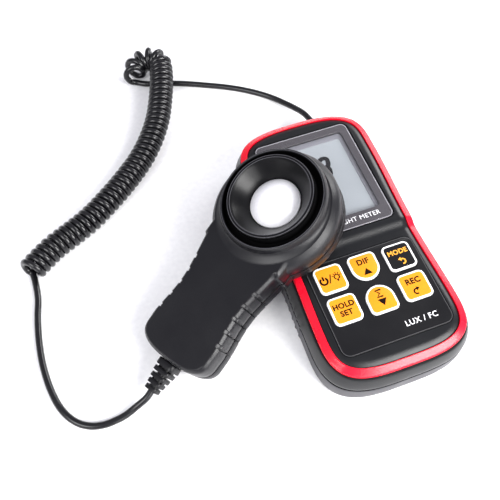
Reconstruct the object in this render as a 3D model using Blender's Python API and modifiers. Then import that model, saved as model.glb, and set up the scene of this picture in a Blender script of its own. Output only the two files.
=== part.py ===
"""Handheld light meter with a tethered sensor probe.

Lengths are in millimetres and are turned into metres where a mesh is made.
The meter's frame: origin at the centre of its back, +X right, +Y to the display end, +Z out of the display.
The probe's frame: origin under the centre of its head, u from the handle to the head, v across, w out of
its face.
"""
import math

import bmesh
import bpy
from mathutils import Matrix, Vector

MM = 0.001
GAP = 0.3                      # clearance between touching pieces

# Meter case: plan outline at the trim ring, and heights above the back
END_HALF_WIDTH = 36.9
WAIST_HALF_WIDTH = 35.4
WAIST_Y = -6.0
WAIST_RUN = 50.0
TOP_CORNER_Y = 50.0
TOP_Y = 75.7
TOP_POWER = 2.8
BOTTOM_CORNER_Y = -48.0
BOTTOM_Y = -75.7
BOTTOM_POWER = 3.4
STEP_Y = (-9.4, -7.8, -6.2, -4.6, -3.0)    # from the keypad's level up to the display's
SIDE_STATIONS = (-36.0, -22.0) + STEP_Y + (12.0, 26.0, 38.0)
PARTING_Z = 13.0
BULGE = 3.2                    # how far the case stands out past the ring at the parting line
KEYPAD_Z = 26.3
DISPLAY_Z = 28.4
RING_WIDTH = 3.7
RING_DEPTH = 3.2
RING_SLOPE = 1.4               # how far the ring's outer edge lies below its inner edge
RING_EDGE = 0.6
PLATE_INSET = RING_WIDTH + GAP
PLATE_THICKNESS = 2.0

# Display
WINDOW_HALF = 27.0
WINDOW_Y = (-0.8, 64.0)
WINDOW_CORNER = 3.5
WINDOW_THICKNESS = 1.5
WINDOW_PROUD = 0.4
VIEW_HALF = 22.6
VIEW_Y = (7.4, 59.4)
LCD_HALF = 24.5
LCD_Y = (6.9, 60.1)

# Keys
KEY_SIZE = 14.8
KEY_CORNER = 2.8
KEY_COLUMNS = (-18.7, 0.0, 18.7)
KEY_ROWS = (-23.1, -40.5)
KEY_TOP_Z = 27.0
KEY_FLANGE = 0.8
KEY_FLANGE_Z = (22.9, 23.9)
OVERLAY_HALF = 29.2
OVERLAY_Y = (-63.6, -13.2)
OVERLAY_Z = KEYPAD_Z + 0.1
OVERLAY_THICKNESS = 0.5
MAT_Z = (20.6, 21.4)
MAT_PAD_Z = 22.1
BOARD_Z = (18.7, 20.3)
BOARD_INSET = 11.5

# Battery bay
CELL_RADIUS = 5.2
CELL_LENGTH = 43.6
CELL_PITCH = 11.4
CELL_Z = 8.0
CELL_MID_Y = -35.6
BAY_HALF = 17.8
BAY_Y = (-60.4, -11.0)
BAY_TOP_Z = 13.5
BAY_WALL = 1.4
DOOR_HALF = 19.3
DOOR_Y = (-61.8, -9.5)
DOOR_Z = (0.35, 2.0)

# Case screws
SCREW_X = 30.8
SCREW_ROWS = (-50.0, 55.0)
SCREW_HEAD_RADIUS = 2.4
SCREW_SHANK_RADIUS = 1.0
SCREW_TOP_Z = 18.0

# Where the cord enters the meter
ENTRY_X = 18.0
ENTRY_Z = 8.6
ENTRY_LENGTH = 7.3

# Probe
PROBE_TILT = 21.0              # degrees, uphill towards the meter's right
PROBE_TURN = 30.8              # degrees, handle's direction within the tilted plane
HEAD_X = -27.3
HEAD_Y = 15.5
CONTACT_Y = 42.0               # where the head lies on the ring
HEAD_RADIUS = 33.2
HEAD_SHIFT = -2.6              # round body's centre, towards the handle from the dome's axis
NECK_HALF = 24.2
NECK_END = -31.0
WAIST_HALF = 19.3
WAIST_U = -56.5
NECK_FLARE = 4.2               # how far each side widens from the waist towards the neck
NECK_RUN = 34.0
TAIL_HALF = 21.0
TAIL_CORNER_U = -78.0
TAIL_U = -92.0
TAIL_POWER = 2.7
PROBE_PARTING = 7.8
PROBE_TOP = 18.6
COLLAR_RADIUS = 27.6
COLLAR_TOP = 24.4
FLARE_RADIUS = 2.8
GROOVE_RADII = (22.3, 25.5)
GROOVE_FLOOR = 20.4
BOWL_TOP = 27.4
BOWL_RIM = (20.4, 21.6)
DOME_RADIUS = 12.9
DOME_BASE = 18.3
DOME_HEIGHT = 6.0
GRIP_GROOVES = tuple(-42.7 - 7.35 * i for i in range(5))
GRIP_DEPTH = 0.7
RELIEF_AXIS_W = 10.2
RELIEF_END_U = -108.5
PROBE_SCREWS_U = (-72.0, -42.0)

# Cord
CORD_RADIUS = 1.75
COIL_RADIUS = 7.3

for old in list(bpy.data.objects):
    bpy.data.objects.remove(old, do_unlink=True)
PARTS = bpy.data.collections.new("light_meter")
CUTTERS = bpy.data.collections.new("cutters")
bpy.context.scene.collection.children.link(PARTS)
bpy.context.scene.collection.children.link(CUTTERS)


# ---------------------------------------------------------------- helpers

def material(name, colour, roughness, metallic=0.0, alpha=1.0):
    """A Principled material, made once for each name."""
    found = bpy.data.materials.get(name)
    if found:
        return found
    made = bpy.data.materials.new(name)
    made.use_nodes = True
    shader = made.node_tree.nodes["Principled BSDF"]
    shader.inputs["Base Color"].default_value = (*colour, 1.0)
    shader.inputs["Roughness"].default_value = roughness
    shader.inputs["Metallic"].default_value = metallic
    shader.inputs["Alpha"].default_value = alpha
    return made


def mesh_object(name, bm, look=None, parent=None):
    """Link a bmesh as a part with its look, or as a hidden cutter without one."""
    bmesh.ops.recalc_face_normals(bm, faces=bm.faces)
    mesh = bpy.data.meshes.new(name)
    bm.to_mesh(mesh)
    bm.free()
    return link_object(name, mesh, look, parent)


def link_object(name, data, look=None, parent=None):
    obj = bpy.data.objects.new(name, data)
    if look:
        PARTS.objects.link(obj)
        data.materials.append(look)
    else:
        CUTTERS.objects.link(obj)
        obj.hide_render = True
        obj.display_type = "WIRE"
    obj.parent = parent
    return obj


def prism(name, points, low, high, look=None, parent=None):
    """A flat outline in the XY plane, extruded from low to high."""
    bm = bmesh.new()
    floor = bm.faces.new([bm.verts.new((x * MM, y * MM, low * MM)) for x, y in points])
    walls = bmesh.ops.extrude_face_region(bm, geom=[floor])
    raised = [item for item in walls["geom"] if isinstance(item, bmesh.types.BMVert)]
    bmesh.ops.translate(bm, verts=raised, vec=(0, 0, (high - low) * MM))
    return mesh_object(name, bm, look, parent)


def loft(name, rings, look=None, parent=None, closed=False):
    """Rings of (x, y, z) with the same number of points, skinned; the ends are capped or meet each other."""
    bm = bmesh.new()
    loops = [[bm.verts.new(Vector(point) * MM) for point in ring] for ring in rings]
    for low, high in zip(loops, loops[1:] + loops[:1] if closed else loops[1:]):
        for i, start in enumerate(low):
            j = (i + 1) % len(low)
            bm.faces.new((start, low[j], high[j], high[i]))
    if not closed:
        bm.faces.new(loops[0][::-1])
        bm.faces.new(loops[-1])
    return mesh_object(name, bm, look, parent)


def turned(name, profile, steps, look=None, parent=None, closed=False, smooth=True):
    """A profile of (radius, height) turned about Z; it runs down its outer side."""
    bm = bmesh.new()
    verts = [bm.verts.new((r * MM, 0, z * MM)) for r, z in profile]
    for start, end in zip(verts, verts[1:]):
        bm.edges.new((start, end))
    if closed:
        bm.edges.new((verts[-1], verts[0]))
    mesh = bpy.data.meshes.new(name)
    bm.to_mesh(mesh)
    bm.free()
    obj = link_object(name, mesh, look, parent)
    screw = obj.modifiers.new("Turn", "SCREW")
    screw.steps = screw.render_steps = steps
    screw.use_merge_vertices = True
    screw.merge_threshold = 0.00001
    screw.use_smooth_shade = smooth
    return obj


def box(name, x_range, y_range, z_range, look=None, parent=None):
    """An axis-aligned block between two corners."""
    bm = bmesh.new()
    bmesh.ops.create_cube(bm, size=MM)
    size = [high - low for low, high in (x_range, y_range, z_range)]
    middle = [(high + low) / 2 for low, high in (x_range, y_range, z_range)]
    bmesh.ops.scale(bm, verts=bm.verts, vec=size)
    bmesh.ops.translate(bm, verts=bm.verts, vec=Vector(middle) * MM)
    return mesh_object(name, bm, look, parent)


def post(name, x, y, radius, z_range, look=None, parent=None, sides=12):
    """An upright cylinder."""
    bm = bmesh.new()
    bmesh.ops.create_cone(bm, cap_ends=True, segments=sides, radius1=radius * MM, radius2=radius * MM,
                          depth=(z_range[1] - z_range[0]) * MM)
    bmesh.ops.translate(bm, verts=bm.verts, vec=Vector((x, y, sum(z_range) / 2)) * MM)
    return mesh_object(name, bm, look, parent)


def combine(target, tool, operation):
    """Add a Boolean with the exact solver, the modifier's default."""
    modifier = target.modifiers.new(f"{operation.title()} {tool.name}", "BOOLEAN")
    modifier.operation = operation
    modifier.object = tool
    return target


def bevel(obj, width, segments=2, angle=40):
    """Round the edges sharper than the angle."""
    modifier = obj.modifiers.new("Rounding", "BEVEL")
    modifier.width = width * MM
    modifier.segments = segments
    modifier.limit_method = "ANGLE"
    modifier.angle_limit = math.radians(angle)
    modifier.use_clamp_overlap = True


def arc(centre, radius, start, end, count):
    """Points of a circular arc, in degrees."""
    angles = [math.radians(start + (end - start) * i / count) for i in range(count + 1)]
    return [(centre[0] + radius * math.cos(a), centre[1] + radius * math.sin(a)) for a in angles]


def rounded_rectangle(x_range, y_range, radius, steps=5):
    """A rectangle's outline with round corners, anticlockwise."""
    left, right = x_range[0] + radius, x_range[1] - radius
    low, high = y_range[0] + radius, y_range[1] - radius
    return (arc((right, high), radius, 0, 90, steps) + arc((left, high), radius, 90, 180, steps)
            + arc((left, low), radius, 180, 270, steps) + arc((right, low), radius, 270, 360, steps))


def shifted(points, distance):
    """An anticlockwise outline moved outwards along its own normals."""
    moved = []
    for i, (x, y) in enumerate(points):
        before, after = points[i - 1], points[(i + 1) % len(points)]
        along = Vector((after[0] - before[0], after[1] - before[1])).normalized()
        moved.append((x + along.y * distance, y - along.x * distance))
    return moved


def at_height(points, z):
    return [(x, y, z) for x, y in points]


def smoothstep(t):
    t = min(max(t, 0.0), 1.0)
    return t * t * (3 - 2 * t)


# ---------------------------------------------------------------- meter outline

def side_half_width(y):
    """Half the case's width at the ring: wide ends and a slight waist."""
    run = min(abs(y - WAIST_Y) / WAIST_RUN, 1.0)
    return WAIST_HALF_WIDTH + (END_HALF_WIDTH - WAIST_HALF_WIDTH) * (1 - math.cos(math.pi * run)) / 2


def case_outline(offset=0.0, end_steps=16):
    """The ring's outer outline, anticlockwise from the right side, moved outwards by offset."""
    points = []
    for corner, end, power in ((TOP_CORNER_Y, TOP_Y, TOP_POWER), (BOTTOM_CORNER_Y, BOTTOM_Y, BOTTOM_POWER)):
        side = 1 if end > 0 else -1
        for i in range(end_steps + 1):
            angle = math.pi * i / end_steps
            reach = abs(math.cos(angle)) ** (2 / power) * (1 if angle < math.pi / 2 else -1)
            y = corner + (end - corner) * max(math.sin(angle), 0.0) ** (2 / power)
            points.append((side * side_half_width(y) * reach, y))
        for y in SIDE_STATIONS[::-side]:
            points.append((-side * side_half_width(y), y))
    return shifted(points, offset)


def face_height(y):
    """Height of the front face along the case: keypad, step, display and rounded-down ends."""
    height = KEYPAD_Z + (DISPLAY_Z - KEYPAD_Z) * smoothstep((y - STEP_Y[0]) / (STEP_Y[-1] - STEP_Y[0]))
    height -= 2.0 * max((y - 63.0) / 13.0, 0.0) ** 1.6
    height -= 1.6 * max((-64.0 - y) / 12.0, 0.0) ** 1.6
    return height


def under_face(name, drop):
    """Everything lower than the front face, less the drop."""
    stations = [-90, -78, -75, -72, -69, -66.5, -64, *STEP_Y, 63, 66, 69, 72, 75, 78, 90]
    top = [(y, face_height(min(max(y, -78), 78)) - drop) for y in stations]
    profile = [(-90, -5)] + top + [(90, -5)]
    bm = bmesh.new()
    side = bm.faces.new([bm.verts.new((-60 * MM, y * MM, z * MM)) for y, z in profile])
    walls = bmesh.ops.extrude_face_region(bm, geom=[side])
    moved = [item for item in walls["geom"] if isinstance(item, bmesh.types.BMVert)]
    bmesh.ops.translate(bm, verts=moved, vec=(120 * MM, 0, 0))
    return mesh_object(name, bm)


# ---------------------------------------------------------------- meter case

def screw_places():
    return [(side * SCREW_X, y) for y in SCREW_ROWS for side in (-1, 1)]


def make_front_case(look):
    """Upper shell: bulging walls, a ledge for the ring, the raised face plate and its openings."""
    wall = ((PARTING_Z + GAP, BULGE), (16.5, BULGE - 0.4), (20.0, 1.8), (23.5, 0.5), (34.0, 0.3))
    case = loft("front_case", [at_height(case_outline(offset), z) for z, offset in wall], look)
    combine(case, under_face("ledge_level", RING_DEPTH + GAP), "INTERSECT")
    plate = prism("plate_block", case_outline(-PLATE_INSET), 19.0, 40.0)
    combine(plate, under_face("plate_level", 0.0), "INTERSECT")
    combine(case, plate, "UNION")
    hollow = ((PARTING_Z - 1, BULGE - 2.1), (19.0, 0.2), (22.0, -1.2), (30.0, -3.2))
    wide = loft("wide_hollow", [at_height(case_outline(offset), z) for z, offset in hollow])
    combine(wide, under_face("wide_hollow_level", RING_DEPTH + GAP + 1.7), "INTERSECT")
    combine(case, wide, "DIFFERENCE")
    deep = prism("plate_hollow", case_outline(-PLATE_INSET - 2.2), PARTING_Z - 1, 40.0)
    combine(deep, under_face("plate_hollow_level", PLATE_THICKNESS), "INTERSECT")
    combine(case, deep, "DIFFERENCE")
    cut_display_opening(case)
    cut_key_openings(case)
    for i, (x, y) in enumerate(screw_places()):
        top = face_height(y) - RING_DEPTH - 0.6
        combine(case, post(f"front_post_{i}", x, y, 3.3, (PARTING_Z + GAP, top)), "UNION")
        hole = (PARTING_Z - 1, SCREW_TOP_Z + 1)
        combine(case, post(f"front_post_hole_{i}", x, y, SCREW_SHANK_RADIUS + GAP, hole), "DIFFERENCE")
    return case


def cut_display_opening(case):
    """The window's seat and, inside it, the view down to the display glass."""
    seat = rounded_rectangle((-WINDOW_HALF - GAP, WINDOW_HALF + GAP),
                             (WINDOW_Y[0] - GAP, WINDOW_Y[1] + GAP), WINDOW_CORNER)
    seat_floor = DISPLAY_Z + WINDOW_PROUD - WINDOW_THICKNESS - GAP
    combine(case, prism("window_seat", seat, seat_floor, 40.0), "DIFFERENCE")
    view = rounded_rectangle((-VIEW_HALF, VIEW_HALF), VIEW_Y, 2.0, 3)
    combine(case, prism("view_opening", view, 20.0, 35.0), "DIFFERENCE")


def cut_key_openings(case):
    """A shallow recess for the overlay and a hole for each key."""
    recess = rounded_rectangle((-OVERLAY_HALF - GAP, OVERLAY_HALF + GAP),
                               (OVERLAY_Y[0] - GAP, OVERLAY_Y[1] + GAP), 8.0)
    recess_floor = OVERLAY_Z - OVERLAY_THICKNESS - GAP
    combine(case, prism("overlay_recess", recess, recess_floor, 40.0), "DIFFERENCE")
    for name, x, y, shape in KEYS:
        opening = [(x + px, y + py) for px, py in shifted(key_outline(shape), GAP)]
        combine(case, prism(f"{name}_opening", opening, 20.0, 35.0), "DIFFERENCE")


def make_rear_case(look):
    """Lower shell with its battery bay, screw bosses and the cord's entry."""
    wall = ((0.0, 0.2), (0.4, 1.5), (1.2, 2.4), (2.6, 3.0), (4.5, 3.3), (8.5, 3.3), (PARTING_Z, BULGE))
    case = loft("rear_case", [at_height(case_outline(offset), z) for z, offset in wall], look)
    hollow = ((2.0, -2.6), (4.6, 0.2), (7.5, 0.9), (PARTING_Z + 1, BULGE - 2.1))
    inside = loft("rear_hollow", [at_height(case_outline(offset), z) for z, offset in hollow])
    combine(case, inside, "DIFFERENCE")
    reach = BAY_WALL + DOOR_HALF + 2 * GAP
    bay_walls = box("bay_walls", (-reach, reach), (DOOR_Y[0] - 2.0, DOOR_Y[1] + 2.0),
                    (1.0, BAY_TOP_Z + BAY_WALL))
    combine(case, bay_walls, "UNION")
    combine(case, box("bay", (-BAY_HALF, BAY_HALF), BAY_Y, (-1.0, BAY_TOP_Z)), "DIFFERENCE")
    recess = rounded_rectangle((-DOOR_HALF - GAP, DOOR_HALF + GAP),
                               (DOOR_Y[0] - GAP, DOOR_Y[1] + GAP), 2.0, 3)
    combine(case, prism("door_recess", recess, -1.0, DOOR_Z[1] + GAP), "DIFFERENCE")
    for i, (x, y) in enumerate(screw_places()):
        combine(case, post(f"boss_{i}", x, y, 3.8, (1.0, PARTING_Z)), "UNION")
        sink = post(f"screw_sink_{i}", x, y, SCREW_HEAD_RADIUS + GAP + 0.1, (-1.0, 3.2))
        combine(case, sink, "DIFFERENCE")
        shaft = post(f"screw_hole_{i}", x, y, SCREW_SHANK_RADIUS + GAP, (2.0, PARTING_Z + 1))
        combine(case, shaft, "DIFFERENCE")
    combine(case, entry_post("entry_boss", 4.3, (-5.5, -GAP)), "UNION")
    combine(case, entry_post("entry_seat", 3.6, (-14.0, -2.9)), "DIFFERENCE")
    combine(case, entry_post("entry_bore", 2.5, (-6.0, 6.0)), "DIFFERENCE")
    return case


def entry_post(name, radius, reach):
    """A cylinder on the cord's entry axis, its reach measured from the sleeve's flange."""
    cylinder = post(name, 0, 0, radius, reach, sides=24)
    cylinder.rotation_euler = (math.radians(-90), 0, 0)
    cylinder.location = Vector((ENTRY_X, entry_face_y(), ENTRY_Z)) * MM
    return cylinder


def entry_face_y():
    """Where the sleeve's flange stands, clear of the end wall at the entry."""
    reach = ENTRY_X / side_half_width(TOP_Y)
    edge = TOP_CORNER_Y + (TOP_Y - TOP_CORNER_Y) * (1 - reach ** TOP_POWER) ** (1 / TOP_POWER)
    return edge + BULGE + 1.0


def make_trim_ring(look):
    """The bright band around the face: it slopes down outwards and follows the face's step."""
    section = ((-RING_WIDTH, -RING_DEPTH), (0.0, -RING_DEPTH), (0.0, -RING_SLOPE - 0.5),
               (-RING_EDGE, -RING_SLOPE), (-RING_WIDTH + 0.3, 0.0), (-RING_WIDTH, -0.2))
    rings = [[(x, y, face_height(y) + drop) for x, y in case_outline(offset)] for offset, drop in section]
    return loft("trim_ring", rings, look, closed=True)


# ---------------------------------------------------------------- display

def make_display(looks):
    """Window, display glass, backlight, their holder and the strip that joins them to the board."""
    top = DISPLAY_Z + WINDOW_PROUD
    outline = rounded_rectangle((-WINDOW_HALF, WINDOW_HALF), WINDOW_Y, WINDOW_CORNER)
    lens = prism("display_window", outline, top - WINDOW_THICKNESS, top, looks["window"])
    bevel(lens, 0.25, 1)
    ceiling = DISPLAY_Z - PLATE_THICKNESS - GAP
    box("lcd_panel", (-LCD_HALF, LCD_HALF), LCD_Y, (ceiling - 1.8, ceiling), looks["lcd"])
    box("lcd_backlight", (-LCD_HALF, LCD_HALF), LCD_Y, (ceiling - 3.8, ceiling - 1.8 - GAP),
        looks["backlight"])
    frame_z = (BOARD_Z[1] + GAP, ceiling)
    frame = box("lcd_holder", (-26.6, 26.6), (4.9, 62.1), frame_z, looks["inner"])
    combine(frame, box("lcd_holder_hollow", (-LCD_HALF - GAP, LCD_HALF + GAP),
                       (LCD_Y[0] - GAP, LCD_Y[1] + GAP), (10.0, 40.0)), "DIFFERENCE")
    box("lcd_connector", (-21.0, 21.0), (9.0, 12.0), (frame_z[0], ceiling - 3.8 - GAP), looks["rubber"])


# ---------------------------------------------------------------- keypad

KEYS = (("key_power", KEY_COLUMNS[0], KEY_ROWS[0], "square"),
        ("key_difference", KEY_COLUMNS[1], KEY_ROWS[0] + 0.5, "round_bottom"),
        ("key_mode", KEY_COLUMNS[2], KEY_ROWS[0], "square"),
        ("key_hold", KEY_COLUMNS[0], KEY_ROWS[1], "square"),
        ("key_sum", KEY_COLUMNS[1], KEY_ROWS[1] - 0.7, "round_top"),
        ("key_record", KEY_COLUMNS[2], KEY_ROWS[1], "square"))


def key_outline(shape):
    """A key's outline about its centre, anticlockwise."""
    half = KEY_SIZE / 2
    if shape == "square":
        return rounded_rectangle((-half, half), (-half, half), KEY_CORNER, 3)
    corner = half - KEY_CORNER
    lower = arc((0, 0), half, 180, 360, 12)
    upper = arc((corner, corner), KEY_CORNER, 0, 90, 3) + arc((-corner, corner), KEY_CORNER, 90, 180, 3)
    points = lower + upper
    return [(-x, -y) for x, y in points] if shape == "round_top" else points


def make_key(name, x, y, shape, look):
    """A cap with a flange that the face plate holds in, its origin on its own travel axis."""
    cap = key_outline(shape)
    wide = shifted(cap, KEY_FLANGE)
    rings = ((wide, KEY_FLANGE_Z[0]), (wide, KEY_FLANGE_Z[1]), (cap, KEY_FLANGE_Z[1]),
             (cap, KEY_TOP_Z - 0.35), (shifted(cap, -0.35), KEY_TOP_Z))
    key = loft(name, [at_height(points, z - KEY_TOP_Z) for points, z in rings], look)
    key.location = Vector((x, y, KEY_TOP_Z)) * MM
    return key


def make_keypad(looks):
    """Printed overlay, rubber mat with a pad under each key, and the keys."""
    outline = rounded_rectangle((-OVERLAY_HALF, OVERLAY_HALF), OVERLAY_Y, 7.7)
    overlay = prism("keypad_overlay", outline, OVERLAY_Z - OVERLAY_THICKNESS, OVERLAY_Z, looks["overlay"])
    mat = box("key_mat", (-27.0, 27.0), (-50.5, -13.5), MAT_Z, looks["rubber"])
    for name, x, y, shape in KEYS:
        hole = [(x + px, y + py) for px, py in shifted(key_outline(shape), GAP)]
        combine(overlay, prism(f"{name}_overlay_hole", hole, 20.0, 35.0), "DIFFERENCE")
        combine(mat, post(f"{name}_pad", x, y, 3.2, (MAT_Z[0] + 0.2, MAT_PAD_Z)), "UNION")
        make_key(name, x, y, shape, looks["key_dark"] if name == "key_mode" else looks["key"])


# ---------------------------------------------------------------- electronics and power

def make_electronics(looks):
    """The main board under the display and keys, with its buzzer and controller."""
    prism("circuit_board", case_outline(-BOARD_INSET, 12), *BOARD_Z, looks["board"])
    post("buzzer", 15.0, -57.5, 4.5, (BOARD_Z[0] - 3.3, BOARD_Z[0] - GAP), looks["inner"])
    box("controller_chip", (-8.0, 8.0), (22.0, 38.0), (BOARD_Z[0] - 2.2, BOARD_Z[0] - GAP), looks["inner"])


def make_cells(looks):
    """Three round cells side by side, each turned end for end from its neighbour."""
    half = CELL_LENGTH / 2
    profile = ((0, half + 0.9), (2.6, half + 0.9), (2.6, half), (4.7, half), (CELL_RADIUS, half - 0.6),
               (CELL_RADIUS, 0.6 - half), (4.7, -half), (0, -half))
    for i in range(3):
        cell = turned(f"battery_cell_{i + 1}", profile, 16, looks["cell"])
        side = 1 if i % 2 == 0 else -1
        cell.rotation_euler = (math.radians(-90 * side), 0, 0)
        cell.location = Vector(((i - 1) * CELL_PITCH, CELL_MID_Y, CELL_Z)) * MM


def make_contacts(looks):
    """Sprung plates at both ends of the bay, with a cone for each cell."""
    for name, wall_y, side in (("contact_lower", BAY_Y[0] + GAP, 1), ("contact_upper", BAY_Y[1] - GAP, -1)):
        plate = box(name, (-BAY_HALF + GAP, BAY_HALF - GAP), sorted((wall_y, wall_y + 0.5 * side)),
                    (3.2, 12.6), looks["metal"])
        for i in range(3):
            bm = bmesh.new()
            bmesh.ops.create_cone(bm, cap_ends=True, segments=16, radius1=3.4 * MM, radius2=2.2 * MM,
                                  depth=1.4 * MM)
            cone = mesh_object(f"{name}_cone_{i}", bm)
            cone.rotation_euler = (math.radians(-90 * side), 0, 0)
            cone.location = Vector(((i - 1) * CELL_PITCH, wall_y + 0.9 * side, CELL_Z)) * MM
            combine(plate, cone, "UNION")


def make_battery_door(look):
    """Clip-on cover, a little short of the back face so that it never carries the case."""
    outline = rounded_rectangle((-DOOR_HALF, DOOR_HALF), DOOR_Y, 1.7, 3)
    door = prism("battery_door", outline, *DOOR_Z, look)
    for side in (-1, 1):
        lip = box(f"door_lip_{side}", sorted((side * (BAY_HALF - 1.3), side * (BAY_HALF - GAP))),
                  (-50.0, -22.0), (DOOR_Z[1] - 0.5, 3.1))
        combine(door, lip, "UNION")
    for i in range(4):
        y = DOOR_Y[1] - 4.0 - 1.8 * i
        slot = box(f"door_grip_{i}", (-6.0, 6.0), (y - 0.45, y + 0.45), (-1.0, DOOR_Z[0] + 0.5))
        combine(door, slot, "DIFFERENCE")


def make_case_screws(look):
    """Four screws driven from the back into the upper shell's posts."""
    profile = ((0, SCREW_TOP_Z), (0.4, SCREW_TOP_Z), (SCREW_SHANK_RADIUS, SCREW_TOP_Z - 1.2),
               (SCREW_SHANK_RADIUS, 2.9), (SCREW_HEAD_RADIUS, 2.9), (SCREW_HEAD_RADIUS, 1.5),
               (SCREW_HEAD_RADIUS - 0.6, 0.9), (0, 0.9))
    for i, (x, y) in enumerate(screw_places()):
        screw = turned(f"case_screw_{i + 1}", profile, 12, look)
        screw.location = Vector((x, y, 0)) * MM
        add_drive(screw, 0.9)


def add_drive(screw, head_z, parent=None):
    """A cross-shaped driver slot in the flat of a screw's head."""
    for turn in (0, 90):
        slot = box(f"{screw.name}_slot_{turn}", (-1.5, 1.5), (-0.3, 0.3), (head_z - 1.0, head_z + 0.7),
                   parent=parent)
        slot.rotation_euler = (0, 0, math.radians(turn))
        slot.location = screw.location
        combine(screw, slot, "DIFFERENCE")


def make_entry_relief(look):
    """Short ribbed sleeve where the cord enters the meter's display end."""
    profile = ((0, ENTRY_LENGTH), (2.7, ENTRY_LENGTH), (2.7, 6.4), (2.3, 6.0), (2.3, 5.4), (3.0, 5.0),
               (3.0, 4.0), (2.5, 3.6), (2.5, 3.0), (3.4, 2.6), (3.4, 1.6), (4.0, 1.4), (4.0, 0.0),
               (2.2, 0.0), (2.2, -3.2), (3.3, -3.2), (3.3, -4.4), (0, -4.4))
    sleeve = turned("entry_relief", profile, 12, look)
    sleeve.rotation_euler = (math.radians(-90), 0, 0)
    sleeve.location = Vector((ENTRY_X, entry_face_y(), ENTRY_Z)) * MM


# ---------------------------------------------------------------- probe

def probe_half_width(u):
    """Half the handle's width: a waist behind the head and a wider tail."""
    if u > WAIST_U:
        return WAIST_HALF + NECK_FLARE * smoothstep((u - WAIST_U) / NECK_RUN)
    return WAIST_HALF + (TAIL_HALF - WAIST_HALF) * smoothstep((WAIST_U - u) / (WAIST_U - TAIL_CORNER_U))


def probe_side(offset, grooved):
    """The handle's left side from the neck's step to the tail corner, with grip grooves if it has them."""
    stations = [(NECK_END - 0.4 - offset, 0.0), (-34.5, 0.0), (-38.5, 0.0)]
    for u in GRIP_GROOVES:
        if grooved:
            stations += [(u + 0.7, 0.0), (u + 0.35, GRIP_DEPTH), (u - 0.35, GRIP_DEPTH), (u - 0.7, 0.0)]
        else:
            stations.append((u, 0.0))
    return [(u, probe_half_width(u) + offset - depth) for u, depth in stations]


def probe_outline(offset=0.0, grooved=True, head_steps=22, tail_steps=12):
    """The probe's plan outline, anticlockwise: round head, straight neck, gripped handle and tail."""
    radius, neck = HEAD_RADIUS + offset, NECK_HALF + offset
    start = math.degrees(math.asin(neck / radius))
    head = arc((HEAD_SHIFT, 0), radius, start - 180, 180 - start, head_steps)
    side = [(NECK_END - offset, neck)] + probe_side(offset, grooved)
    corner = TAIL_CORNER_U - 3.0
    length = corner - TAIL_U + offset
    tail = []
    for i in range(tail_steps + 1):
        angle = math.pi * i / tail_steps
        reach = abs(math.cos(angle)) ** (2 / TAIL_POWER) * (1 if angle < math.pi / 2 else -1)
        u = corner - length * max(math.sin(angle), 0.0) ** (2 / TAIL_POWER)
        tail.append((u, (TAIL_HALF + offset) * reach))
    mirrored = [(u, -v) for u, v in side[::-1]]
    return head + side + tail + mirrored


def make_collar(pose):
    """Thin-rimmed collar about the dome's axis, flaring down to the round body's centre."""
    flare = arc((COLLAR_RADIUS + FLARE_RADIUS, PROBE_TOP + FLARE_RADIUS), FLARE_RADIUS, 262, 180, 4)
    profile = [(flare[0][0], 15.0)] + flare + [(COLLAR_RADIUS - 0.7, COLLAR_TOP - 0.4),
                                               (COLLAR_RADIUS - 1.2, COLLAR_TOP)]
    rings = []
    for radius, w in profile:
        shift = HEAD_SHIFT * (1 - smoothstep((w - PROBE_TOP) / FLARE_RADIUS))
        rings.append(at_height(arc((shift, 0), radius, 0, 352.5, 47), w))
    return loft("collar", rings, parent=pose)


def make_probe_front(look, pose):
    """Upper half of the probe: handle, head, raised collar and the groove around the bowl."""
    wall = ((PROBE_PARTING + GAP, 0.0), (13.5, 0.1), (16.8, -0.1), (18.0, -0.6), (PROBE_TOP, -1.4))
    shell = loft("probe_front", [at_height(probe_outline(offset), w) for w, offset in wall], look, pose)
    combine(shell, make_collar(pose), "UNION")
    hollow = post("head_hollow", HEAD_SHIFT, 0, 29.4, (2.0, 16.8), parent=pose, sides=36)
    combine(shell, hollow, "DIFFERENCE")
    channel = rounded_rectangle((TAIL_U + 2.6, -15.0), (-16.6, 16.6), 6.0, 4)
    combine(shell, prism("handle_hollow", channel, 2.0, PROBE_TOP - 2.4, parent=pose), "DIFFERENCE")
    inner, outer = GROOVE_RADII
    groove = [(0, 35.0), (outer, 35.0), (outer, GROOVE_FLOOR), (inner, GROOVE_FLOOR), (inner, 10.0),
              (0, 10.0)]
    combine(shell, turned("bowl_seat", groove, 48, parent=pose), "DIFFERENCE")
    for i, u in enumerate(PROBE_SCREWS_U):
        stud = post(f"probe_post_{i}", u, 0, 3.0, (PROBE_PARTING + GAP, PROBE_TOP - 1.0), parent=pose)
        combine(shell, stud, "UNION")
        hole = post(f"probe_post_hole_{i}", u, 0, SCREW_SHANK_RADIUS + GAP, (0.0, 13.5), parent=pose)
        combine(shell, hole, "DIFFERENCE")
    combine(shell, relief_bore("front_bore", pose), "DIFFERENCE")
    return shell


def relief_bore(name, pose):
    """Hole through the tail's end wall for the sleeve."""
    bore = post(name, 0, 0, 2.8, (-4.0, 4.0), parent=pose)
    bore.rotation_euler = (0, math.radians(90), 0)
    bore.location = Vector((TAIL_U, 0, RELIEF_AXIS_W)) * MM
    return bore


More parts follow.
